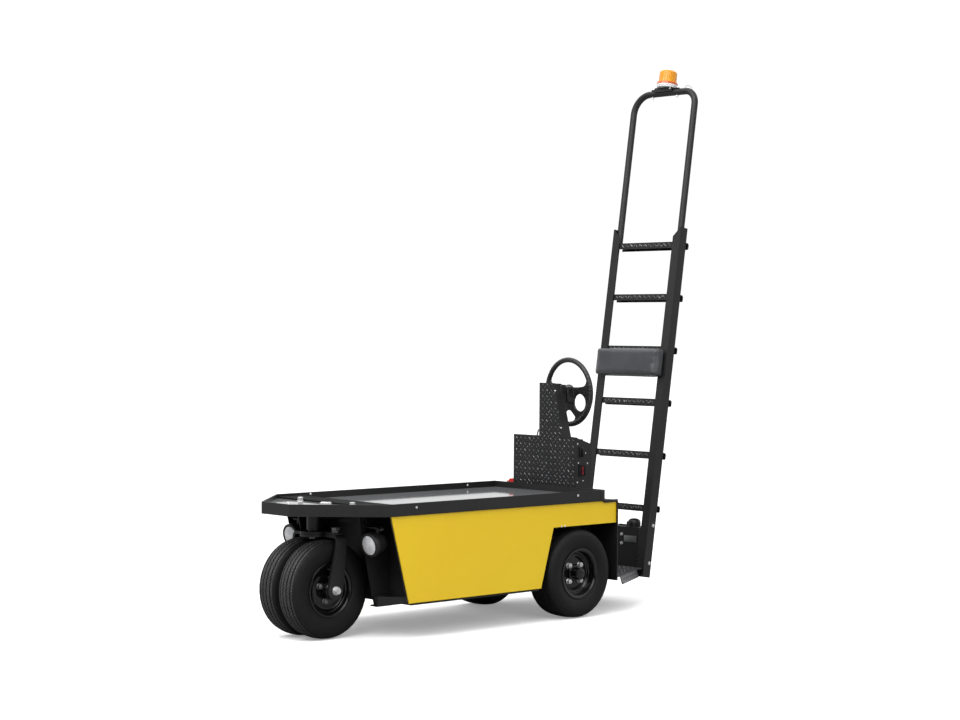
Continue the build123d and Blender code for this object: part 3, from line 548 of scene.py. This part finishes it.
# ------------------------------------------------------------------ head lamps
TILT = radians(10)
LAMP_DIR = Vector((cos(TILT), 0, -sin(TILT)))
GLASS_R, BULGE = 45.7, 8.0
cap_r = (GLASS_R ** 2 + BULGE ** 2) / (2 * BULGE)
glass, bezel = Shape(), Shape()
for s in (1, -1):
    o = P(1187, 265 * s, 405)
    u, v, w = Y_.copy(), LAMP_DIR.cross(Y_), LAMP_DIR
    rings, seg = 22, 88
    verts = [o + w * (BULGE / 1000)]
    for i in range(1, rings + 1):
        r = GLASS_R * i / rings
        for k in range(seg):
            t = 2 * pi * k / seg
            a, b = r * cos(t), r * sin(t)
            h = BULGE - cap_r + sqrt(max(0, cap_r ** 2 - r * r))
            if r < 40:
                h += 0.4 * abs(sin(pi * a / 8.0)) + (0.35 if abs(b) < 9 else 0.0)
            verts.append(o + u * (a / 1000) + v * (b / 1000) + w * (h / 1000))
    faces = [(0, 1 + k, 1 + (k + 1) % seg) for k in range(seg)]
    for i in range(rings - 1):
        faces += [(1 + i * seg + k, 1 + (i + 1) * seg + k, 1 + (i + 1) * seg + (k + 1) % seg, 1 + i * seg + (k + 1) % seg)
                  for k in range(seg)]
    glass.add(verts, faces)
    turn(bezel, o, LAMP_DIR, [(-14, 52.2), (-3, 52.6), (1.2, 52.2), (3.4, 50.4), (4.4, 47.4), (4.2, 43.6), (3.2, 41.4), (1.6, 41.0),
                              (-4, 45.9), (-4, 50)], 72)
    screw(bezel, o - w * 0.008 + Z_ * 0.0524, Z_, 3.4)
glass.piece("lamp_lenses", "chassis", M_LAMP_GLASS_PAINTED_REFLECTION, sharp=60, replaces=("headlight_lenses",), slot="lamp_glass")
bezel.piece("lamp_bezels", "chassis", M_BLACK, slot="black_paint")

# ------------------------------------------------------------ deck and body trim
zinc = Shape()
for s in (1, -1):
    bolt(zinc, P(1205.5, 176 * s, 563.5), Z_, 22, 16, wash=15)
    screw(zinc, P(1307, 130 * s, 563.5), Z_, 7, 4)
    for x, z in ((1012, 562), (26, 562.5)):
        screw(zinc, P(x, 366 * s, z), Y_ * s, 5.6, 3.2)
    for x, z in ((1000, 573), (33, 568)):
        screw(zinc, P(x, 361 * s, z), -Y_ * s, 5.6, 3.4)
    for x in (124, 102):
        screw(zinc, P(x, 358 * s, 427.5), Y_ * s, 4.8, 2.6)
    bolt(zinc, P(1074, 210 * s, 465), Y_ * s, 17, 8, wash=11)
    bolt(zinc, P(1068, 222 * s, 163), Y_ * s, 13, 6)
# latch before the cross plate: a rounded head drawn out to a point
d, e = Vector((-0.724, 0.689, 0)), Vector((0.689, 0.724, 0))
teardrop = [(-24 + 8.5 * (1 - cos(t)), 8.5 * sin(t)) for t in [pi * k / 8 for k in range(5)]] + [(0, 7.2), (14, 3.6), (26, 0.9)]
teardrop += [(a, -b) for a, b in reversed(teardrop[1:])]
o, verts, faces, n = P(1210, 2, 563.4), [], [], len(teardrop)
for up, grow in ((0, 1.0), (6.5, 1.0), (8.5, 0.8)):
    verts += [o + d * (a * grow / 1000) + e * (b * grow / 1000) + Z_ * (up / 1000) for a, b in teardrop]
for i in range(2):
    faces += [(i * n + k, i * n + (k + 1) % n, (i + 1) * n + (k + 1) % n, (i + 1) * n + k) for k in range(n)]
faces += [tuple(range(2 * n, 3 * n)), tuple(range(n - 1, -1, -1))]
zinc.add(verts, faces)
# ladder feet, console and rear box fasteners
for s in (1, -1):
    for x, z in ((-649.5, 374), (-623.3, 194)):
        bolt(zinc, P(x, 222 * s, z), Y_ * s, 15, 6, wash=0)
CON_SCREWS = [(-181, 782), (-181, 601), (-189, 692), (-250, 689), (-236, 737), (-220, 607)]
for x, z in CON_SCREWS[:2]:
    screw(zinc, P(x, 162, z), Y_, 5.0, 3.0)
    screw(zinc, P(x, -250, z), -Y_, 5.0, 3.0)
for x, z in CON_SCREWS[2:]:
    screw(zinc, P(x, 162, z), Y_, 3.8, 2.4)
for y, z in ((24, 1028), (65, 854)):
    screw(zinc, P(-170, y, z), X_, 4.6, 2.8)
for y, z in ((57, 324), (57, 280)):
    bolt(zinc, P(-610.5, y, z), X_, 14, 7)
zinc.piece("zinc_fasteners", "chassis", M_ZINC, slot="bright_steel")

# black lining on the back of the painted panels, and the rim's rear corner plates
PANEL = [(1151, 528), (1048, 157), (252, 157), (175, 425), (-238.5, 425), (-238.5, 524), (-146, 524), (-146, 528)]
lining, corner, n = Shape(), Shape(), len(PANEL)
for s in (1, -1):
    verts = [P(x, y * s, z) for y in (352.2, 352.9) for x, z in PANEL]
    lining.add(verts, [tuple(range(n)), tuple(range(2 * n - 1, n - 1, -1))] + [
        (k, (k + 1) % n, n + (k + 1) % n, n + k) for k in range(n)])
    rbox(corner, P(-138.5, 366.3 * s, 555.5), (27, 1.6, 51), 0.5)
    rbox(corner, P(-197, 363.2 * s, 527.5), (94, 2.6, 13), 0.8)
lining.piece("panel_linings", "chassis", M_BATTERY, slot="black_paint")
corner.piece("rim_corner_plates", "chassis", M_BLACK, slot="black_paint")
# plates across from the horns' feet to the panels' lower front corners
shield = Shape()
for s in (1, -1):
    edge = [(1104, 223, 134.5), (1104, 223, 178), (1045, 351.5, 184), (1043, 351.5, 158)]
    verts = [P(x + dx, y * s, z) for dx in (0, -5) for x, y, z in edge]
    shield.add(verts, [(0, 1, 2, 3), (7, 6, 5, 4)] + [(k, (k + 1) % 4, 4 + (k + 1) % 4, 4 + k) for k in range(4)])
shield.piece("front_shields", "chassis", M_BLACK, slot="black_paint")

# --------------------------------------------------------------- tread plate lugs
lugs = Shape()
CONSOLE = [(-253, 530.5), (165, 530.5), (165, 813), (76, 816), (20, 1065), (-81, 1065), (-81, 813), (-253, 813)]
tread(lugs, P(-170, 0, 0), Y_, Z_, X_, CONSOLE)
RUNG_FIRST, RUNG_PITCH, RUNG_H, RUNG_D = 464.0, 259.3, 30.0, 69.0
for i in range(6):
    z = RUNG_FIRST + i * RUNG_PITCH + RUNG_H / 2
    tread(lugs, L(-6, 0, z - RUNG_H / 2), Y_, LZ, LX, [(-173, -15), (173, -15), (173, 15), (-173, 15)], 31.0, 22.0, 7.4)
    tread(lugs, L(-6 - RUNG_D / 2, 0, z), Y_, LX, LZ, [(-212, -34), (212, -34), (212, 34), (-212, 34)], 31.0, 22.0, 7.4)
lugs.piece("tread_lugs", "chassis", M_LUG, sharp=50, slot="tread_plate")
step = Shape()
STEP = [(-247, -352), (-277, -350), (-543, -209), (-581, -209), (-581, 209), (-543, 209), (-277, 350), (-247, 352)]
tread(step, P(0, 0, 174), X_, Y_, Z_, STEP,
      keep=lambda s, t: not (s > -352 and 62 < abs(t) < 158) and not (s < -540 and abs(t) > 160))
ex, ey = -545.0 + 276.0, 214.0 - 357.0
el = hypot(ex, ey)
nx, ny = -ey / el, ex / el
for s in (1, -1):
    e = Vector((ex / el, s * ey / el, 0))
    d = Vector((-0.30 * nx, -0.30 * s * ny, -1.0)).normalized()
    n = e.cross(d).normalized()
    if n.y * s < 0:
        n = -n
    tread(step, P(-276, 357 * s, 168), e, d, n, [(4, -4), (el - 4, -4), (el - 4, 34), (4, 34)])
step.piece("step_lugs", "chassis", M_STEP, sharp=50, slot="tread_plate")

# welds where the rungs meet the rails
for i in range(6):
    z = RUNG_FIRST + i * RUNG_PITCH + RUNG_H / 2
    for s in (1, -1):
        bead(weld, L(-10, 216 * s, z), L(-73, 216 * s, z), 3.0)
        bead(weld, L(-75, 216 * s, z - 2), L(-75, 216 * s, z - 28), 3.0)
weld.piece("ladder_welds", "chassis", M_BLACK, slot="black_paint")

# ------------------------------------------------------------------- controls
ctl, shine, glow = Shape(), Shape(), Shape()
rbox(shine, P(-207.5, 166.8, 741), (20, 4.0, 41), 1.6, Matrix.Rotation(radians(5), 3, "X"))
rbox(ctl, P(-207.5, 165.2, 741), (28, 3.2, 51), 1.2)
for dx, dz, w, h in ((0, 26.2, 41, 4), (0, -26.2, 41, 4), (18.6, 0, 4, 52), (-18.6, 0, 4, 52)):
    rbox(ctl, P(-213.5 + dx, 166.2, 655.5 + dz), (w, 2.6, h), 1.0)
rbox(shine, P(-213.5, 166.0, 655.5), (34, 1.4, 49), 0.5)
for k in range(9):
    rbox(glow, P(-213.5 + (1.5 if k % 2 else -1.5), 166.9, 637.5 + 4.4 * k), (12 if k % 3 else 7, 0.8, 2.4), 0.3)
turn(shine, P(-248, -205, 812 - 33 / 103 * 74 + 16), Z_, [(-1, 10), (2.2, 10), (3.0, 9), (3.0, 0.05)], 24, False)
ctl.piece("console_switch_frames", "chassis", M_MOULD, slot="black_plastic")
shine.piece("console_screens", "chassis", M_SCREEN, slot="black_plastic")
glow.piece("console_display_bars", "chassis", M_GLOW, slot="red_plastic")
red = Shape()
for k in range(4):
    rbox(red, P(-203, -288, 539 + 12 * k), (40.5, 50.5, 5), 1.0)
for dy in (-9, 9):
    rbox(red, P(-203, -288 + dy, 590), (20, 10, 8), 1.4)
red.piece("connector_ribs", "chassis", M_RED, slot="red_plastic")

# ------------------------------------------------------------- rear equipment box
case, plate = Shape(), Shape()
rbox(plate, P(-609.2, 112, 305), (3, 80, 31), 1.0)
plate.piece("blank_plate", "chassis", M_PLATE, slot="bright_steel")
for k in range(7):
    rbox(case, P(-653, -150 + 14 * k, 364.2), (74, 5, 4.4), 1.2)
for z in (200, 240):
    rbox(case, P(-694.4, 0, z), (3, 250, 6), 1.2)
for y, z in ((157, 228), (157, 206), (-157, 228), (-157, 206)):
    screw(case, P(-609, y, z), X_, 5.0, 3.0)
turn(case, P(-660, 92, 380), Z_, [(-1, 31.4), (5, 30.6), (12, 27.6), (17, 22), (20, 13), (20.8, 0.05)], 48, False)
case.piece("rear_box_ribs", "chassis", M_BOX, slot="charger_case")

# ------------------------------------------------------------------------ beacon
HOOP_X, HOOP_TOP, HOOP_R, BEACON_Y = -27.5, 2539.0, 16.5, 5.0
Z1 = HOOP_TOP + HOOP_R + 8
amber = Shape()
outer = [(16, 53), (24.6, 53), (26.4, 52.2), (27.6, 49.6), (28.2, 46.4), (29.4, 44.7), (31, 44.5), (73, 44.2), (76, 43.9),
         (80.8, 42.4), (84.4, 39.2), (86.8, 34.4), (87.9, 28), (88, 0.05)]
inner = [(85.5, 0.05), (85.4, 27), (84.2, 32.6), (82, 36.8), (78.6, 39.6), (74, 41.2), (32, 41.6), (25, 44), (20, 49), (16, 50)]
flute = [j for j, (a, r) in enumerate(outer) if 30 < a < 74]
turn(amber, L(HOOP_X, BEACON_Y, Z1), LZ, outer + inner, 168,
     wave=lambda i, j: -0.9 if j in flute and i % 6 in (0, 1, 2) else 0)
n = len(outer) + len(inner)
amber.slots = [1 if k % n < 4 else 0 for k in range(len(amber.faces))]
amber.piece("beacon_dome", "chassis", M_AMBER, M_FLANGE, sharp=30, replaces=("beacon_lens",), slot="amber_lens")
core = Shape()
turn(core, L(HOOP_X, BEACON_Y, Z1 + 16), LZ, [(0, 41), (2, 41), (3, 39), (3, 23), (8, 21.5), (40, 19.5), (49, 15), (53, 8), (53, 0.05)],
     48, False)
turn(core, L(HOOP_X, BEACON_Y, Z1), LZ, [(0, 50.4), (5.8, 50.6), (7.4, 52.3), (14.6, 52.5), (15.8, 51.8), (15.8, 46)], 96, False)
core.piece("beacon_core", "chassis", M_PALE, slot="pale_plastic")
bz = Shape()
for y in (-82, 78):
    head = L(HOOP_X, y, HOOP_TOP + HOOP_R + 4)
    bolt(bz, head, LZ, 10, 5, wash=7)
    end = L(HOOP_X, y, HOOP_TOP - HOOP_R)
    washer(bz, end, -LZ, 8, 1.8, 3)
    hexagon(bz, end - LZ * 0.0018, -LZ, 11, 5.5, hole=3.2)
    tube(bz, [end - LZ * 0.006, end - LZ * 0.016], 3.0, 10)
screw(bz, L(HOOP_X + 23, 45, HOOP_TOP + HOOP_R), LX, 4.6, 3.0)
bz.piece("beacon_fasteners", "chassis", M_ZINC, slot="bright_steel")
wire = Shape()
c0, c1 = L(HOOP_X, 124, HOOP_TOP + 15), L(HOOP_X, 176, HOOP_TOP - 3)
loop = []
for k in range(25):
    a = pi * k / 24
    loop.append((c0 + c1) / 2 - (c1 - c0) * (0.5 * cos(a)) + LZ * (0.020 * sin(a)))
tube(wire, loop, 1.3, 8)
wire.piece("beacon_wire", "chassis", M_WIRE, slot="black_plastic")


# ---------------------------------------------------------------- steering wheel
def remeshed(name, me, voxel, smooth):
    """Joins overlapping solids into one skin with softened corners."""
    tmp = link(name + "_tmp", me)
    r = tmp.modifiers.new("skin", "REMESH")
    r.mode, r.voxel_size, r.use_smooth_shade = "VOXEL", voxel, True
    s = tmp.modifiers.new("soft", "SMOOTH")
    s.factor, s.iterations = 0.5, smooth
    bpy.context.view_layer.update()
    done = bpy.data.meshes.new_from_object(tmp.evaluated_get(bpy.context.evaluated_depsgraph_get()))
    bpy.data.objects.remove(tmp)
    done.name = name
    return done


TW, YW = radians(1.7), radians(-4.3)
WA = Vector((-cos(TW) * cos(YW), -cos(TW) * sin(YW), sin(TW)))
WX = WA.cross(Z_).normalized()
WY = WA.cross(WX)
WC = P(-300, -10.5, 1020)
WR, WT = 154.0, 12.4


def rounded(pts, r, n=6):
    """Outline with its corners rounded."""
    res, m = [], len(pts)
    for i in range(m):
        p, a, b = Vector(pts[i]), Vector(pts[i - 1]), Vector(pts[(i + 1) % m])
        ra = min(r, (a - p).length * 0.45)
        rb = min(r, (b - p).length * 0.45)
        p0, p1 = p + (a - p).normalized() * ra, p + (b - p).normalized() * rb
        for k in range(n + 1):
            t = k / n
            q = p0 * (1 - t) ** 2 + p * 2 * t * (1 - t) + p1 * t ** 2
            res.append((q.x, q.y))
    return res


def web_mesh():
    cu = bpy.data.curves.new("web", "CURVE")
    cu.dimensions, cu.fill_mode, cu.extrude = "2D", "BOTH", 0.0055
    loops = [[(149 * cos(t), 149 * sin(t)) for t in [2 * pi * k / 120 for k in range(120)]]]
    for s in (1, -1):
        loops.append([(79 * s + 41 * cos(t), 49 + 41 * sin(t)) for t in [2 * pi * k / 48 for k in range(48)]])
    loops.append(rounded([(-12, 87), (12, 87), (47, 119), (37, 135), (0, 143), (-37, 135), (-47, 119)], 10))
    top = [(143.5 * cos(t), 143.5 * sin(t)) for t in [radians(a) for a in range(203, 338, 3)]]
    loops.append(rounded(top + [(118, -31), (66, -24), (-66, -24), (-118, -31)], 20))
    for pts in loops:
        sp = cu.splines.new("POLY")
        sp.points.add(len(pts) - 1)
        for q, (a, b) in zip(sp.points, pts):
            q.co = (a / 1000, b / 1000, 0, 1)
        sp.use_cyclic_u = True
    tmp = link("web_tmp", cu)
    bpy.context.view_layer.update()
    me = bpy.data.meshes.new_from_object(tmp.evaluated_get(bpy.context.evaluated_depsgraph_get()))
    bpy.data.objects.remove(tmp)
    me.transform(Matrix.Translation(WC) @ frame_of(WX, WY, WA).to_4x4())
    return me


helm = Shape()
seg, ring = 300, 28
verts, faces = [], []
for i in range(seg):
    t = 2 * pi * i / seg
    d = WX * cos(t) + WY * sin(t)
    for k in range(ring):
        q = 2 * pi * k / ring
        r = WT + 0.55 * max(0.0, sin(q + 0.4)) * sin(50 * t)
        verts.append(WC + d * ((WR + r * cos(q)) / 1000) - WA * (r * sin(q) / 1000))
for i in range(seg):
    j = (i + 1) % seg
    faces += [(i * ring + k, i * ring + (k + 1) % ring, j * ring + (k + 1) % ring, j * ring + k) for k in range(ring)]
helm.add(verts, faces)
web = web_mesh()
helm.add([v.co.copy() for v in web.vertices], [tuple(p.vertices) for p in web.polygons])
turn(helm, WC, WA, [(-45, 30), (-43, 33), (-20, 35), (-4, 37), (5, 37), (9, 34), (11, 28), (11, 0.5), (-45, 0.5)], 72)
rbox(helm, WC - WA * 0.021 + WY * 0.010, (74, 78, 44), 7.0, frame_of(WX, WY, WA), segments=3)
skin = remeshed("steering_wheel_skin", helm.mesh("helm", (M_GRIP,)), 0.0021, 7)
skin.materials.clear()
skin.materials.append(M_GRIP)
place("steering_wheel_skin", skin, "steering_wheel", ("steering_wheel_rim", "steering_wheel_hub"))
boss = Shape()
turn(boss, WC + WA * 0.0106, WA, [(-1, 29), (1.2, 29), (2.6, 27.6), (3.4, 24), (3.6, 0.05)], 64, False)
boss.piece("steering_wheel_cap", "steering_wheel", M_MOULD, slot="black_plastic")
cover = Shape()
rbox(cover, WC - WA * 0.073 + WY * 0.004, (86, 86, 38), 6.0, frame_of(WX, WY, WA), segments=3)
cover.piece("column_cover", "chassis", M_MOULD, slot="black_plastic")


# ---------------------------------------------------------------------- back pad
def cushion():
    """Pad on the ladder: a foam block blown out under its cover, flat at the back."""
    x0, x1, half, z0, z1 = 1.5, 54.5, 205.5, 1105.0, 1238.0
    bm = bmesh.new()
    bmesh.ops.create_cube(bm, size=1.0)
    bmesh.ops.scale(bm, vec=Vector((x1 - x0, 2 * half, z1 - z0)) / 1000, verts=bm.verts)
    ends = [e for e in bm.edges if all(v.co.x > 0 for v in e.verts) and abs(e.verts[0].co.z - e.verts[1].co.z) > 0.01]
    bmesh.ops.bevel(bm, geom=ends, offset=0.022, segments=7, profile=0.5, affect="EDGES")
    top, rear = (z1 - z0) / 2000 - 1e-5, (x0 - x1) / 2000 + 1e-5
    rims = [e for e in bm.edges if (all(v.co.z > top for v in e.verts) or all(v.co.z < -top for v in e.verts))
            and any(v.co.x > rear for v in e.verts)]
    bmesh.ops.bevel(bm, geom=rims, offset=0.011, segments=4, profile=0.5, affect="EDGES")
    me = bpy.data.meshes.new("pad_block")
    bm.to_mesh(me)
    bm.free()
    me.transform(Matrix.Translation(L((x0 + x1) / 2, 0, (z0 + z1) / 2)) @ LADDER_ROT.to_4x4())
    me = remeshed("pad_cover", me, 0.0055, 2)
    ob = link("pad_cover_tmp", me)
    rest = [v.co.copy() for v in me.vertices]
    back = [i for i, p in enumerate(rest) if (p - L(0, 0, 0)).dot(LX) * 1000 < x0 + 5.0]
    grp = ob.vertex_groups.new(name="held")
    grp.add(back, 1.0, "REPLACE")
    cl = ob.modifiers.new("cloth", "CLOTH")
    st = cl.settings
    st.use_pressure, st.uniform_pressure_force = True, 4.0
    st.effector_weights.gravity = 0.0
    st.quality, st.mass = 6, 0.3
    st.tension_stiffness = st.compression_stiffness = 12.0
    st.bending_stiffness = 2.0
    st.vertex_group_mass = "held"
    cl.point_cache.frame_start, cl.point_cache.frame_end = 1, 20
    sc = bpy.context.scene
    for f in range(1, 21):
        sc.frame_set(f)
    got = bpy.data.meshes.new_from_object(ob.evaluated_get(bpy.context.evaluated_depsgraph_get()))
    cap = 0.0026
    for v, p in zip(got.vertices, rest):
        d = v.co - p
        if d.length > cap:
            v.co = p + d * (cap / d.length)
    sc.frame_set(1)
    bpy.data.objects.remove(ob)
    tmp = link("pad_cover_tmp2", got)
    sm = tmp.modifiers.new("soft", "SMOOTH")
    sm.factor, sm.iterations = 0.5, 9
    sb = tmp.modifiers.new("sub", "SUBSURF")
    sb.levels = sb.render_levels = 1
    bpy.context.view_layer.update()
    done = bpy.data.meshes.new_from_object(tmp.evaluated_get(bpy.context.evaluated_depsgraph_get()))
    bpy.data.objects.remove(tmp)
    done.name = "back_pad_cover"
    done.materials.clear()
    done.materials.append(M_VINYL)
    done.polygons.foreach_set("use_smooth", [True] * len(done.polygons))
    return done


pad = place("back_pad_cover", cushion(), "chassis", ("back_pad",))
seam = Shape()
path = []
h, v, r, x = 206, 69, 22, 15.0
for k in range(160):
    t = 2 * pi * k / 160
    c, s = cos(t), sin(t)
    q = (abs(c) ** 8 + abs(s) ** 8) ** (-1 / 8)
    a, b = c * q * h, s * q * v
    ok, at, nn, _ = pad.closest_point_on_mesh(L(x, a * 1.04, 1171.5 + b * 1.1))
    path.append(at)
tube(seam, path + path[:1], 1.3, 6, caps=False)
seam.piece("back_pad_seam", "chassis", M_VINYL, slot="vinyl")

# ------------------------------------------------------------------------ studio
scene = bpy.context.scene
me = bpy.data.meshes.new("studio_floor")
bm = bmesh.new()
bmesh.ops.create_grid(bm, x_segments=8, y_segments=8, size=45.0)
bm.to_mesh(me)
bm.free()
me.materials.append(M_FLOOR)
ground = link("studio_floor", me)
# the floor shows white but throws little light back up
ft = M_FLOOR.node_tree
f_mix, f_path = ft.nodes.new("ShaderNodeMix"), ft.nodes.new("ShaderNodeLightPath")
f_mix.data_type = "RGBA"
f_bsdf = next(n for n in ft.nodes if n.type == "BSDF_PRINCIPLED")
f_src = f_bsdf.inputs["Base Color"].links[0].from_socket
ft.links.new(f_path.outputs["Is Camera Ray"], f_mix.inputs[0])
f_mix.inputs[6].default_value = (0.30, 0.30, 0.30, 1)
ft.links.new(f_src, f_mix.inputs[7])
ft.links.new(f_mix.outputs[2], f_bsdf.inputs["Base Color"])
f_lift = ft.nodes.new("ShaderNodeMath")
f_lift.operation = "MULTIPLY"
ft.links.new(f_path.outputs["Is Camera Ray"], f_lift.inputs[0])
f_lift.inputs[1].default_value = 0.27
f_bsdf.inputs["Emission Color"].default_value = (1, 1, 1, 1)
ft.links.new(f_lift.outputs[0], f_bsdf.inputs["Emission Strength"])

world = bpy.data.worlds.new("studio")
scene.world = world
world.use_nodes = True
wt = world.node_tree
wt.nodes.clear()
w_out, w_seen, w_lit = (wt.nodes.new(k) for k in ("ShaderNodeOutputWorld", "ShaderNodeBackground", "ShaderNodeBackground"))
w_mix, w_path = wt.nodes.new("ShaderNodeMixShader"), wt.nodes.new("ShaderNodeLightPath")
w_tex, w_dot, w_map = (wt.nodes.new(k) for k in ("ShaderNodeTexCoord", "ShaderNodeVectorMath", "ShaderNodeMapRange"))
w_dot.operation = "DOT_PRODUCT"
w_dot.inputs[1].default_value = (-0.69, -0.72, 0.0)
wt.links.new(w_tex.outputs["Generated"], w_dot.inputs[0])
wt.links.new(w_dot.outputs["Value"], w_map.inputs["Value"])
w_map.inputs["From Min"].default_value, w_map.inputs["From Max"].default_value = -0.8, 0.7
w_map.inputs["To Min"].default_value, w_map.inputs["To Max"].default_value = 0.06, 1.0
wt.links.new(w_map.outputs[0], w_lit.inputs["Strength"])
w_seen.inputs["Color"].default_value = w_lit.inputs["Color"].default_value = (1, 1, 1, 1)
w_seen.inputs["Strength"].default_value = 1.05
wt.links.new(w_path.outputs["Is Camera Ray"], w_mix.inputs[0])
wt.links.new(w_lit.outputs[0], w_mix.inputs[1])
wt.links.new(w_seen.outputs[0], w_mix.inputs[2])
wt.links.new(w_mix.outputs[0], w_out.inputs["Surface"])


def softbox(name, at, to, size, power):
    d = bpy.data.lights.new(name, "AREA")
    d.shape, d.size, d.size_y, d.energy = "RECTANGLE", size[0], size[1], power
    ob = bpy.data.objects.new(name, d)
    ob.location = at
    ob.rotation_euler = (Vector(to) - Vector(at)).to_track_quat("-Z", "Y").to_euler()
    scene.collection.objects.link(ob)


softbox("key", (4.2, 0.9, 5.6), (0.0, 0.0, 0.7), (6.5, 6.5), 450)
softbox("fill", (1.4, 6.4, 3.6), (0.0, 0.0, 0.7), (5.0, 3.0), 118)
sky = bpy.data.lights.new("overhead", "SUN")
sky.energy, sky.angle = 1.4, radians(120)
sky_ob = bpy.data.objects.new("overhead", sky)
sky_ob.location = (0, 0, 8)
scene.collection.objects.link(sky_ob)

# camera at the photograph's view
yaw, pitch, roll = radians(-133.586), radians(-0.7996), radians(0.4234)
fwd = Vector((cos(yaw) * cos(pitch), sin(yaw) * cos(pitch), sin(pitch)))
right = Vector((sin(yaw), -cos(yaw), 0))
up = right.cross(fwd)
right, up = right * cos(roll) + up * sin(roll), up * cos(roll) - right * sin(roll)
cd = bpy.data.cameras.new("camera")
cd.sensor_fit, cd.sensor_width, cd.lens = "HORIZONTAL", 36.0, 2045.27 * 36.0 / 960.0
cd.clip_end = 200.0
cam = bpy.data.objects.new("camera", cd)
cam.matrix_world = Matrix.Translation(P(6767.4, 6794.3, 1307.0)) @ frame_of(right, up, -fwd).to_4x4()
scene.collection.objects.link(cam)
scene.camera = cam
scene.view_settings.view_transform = "Standard"
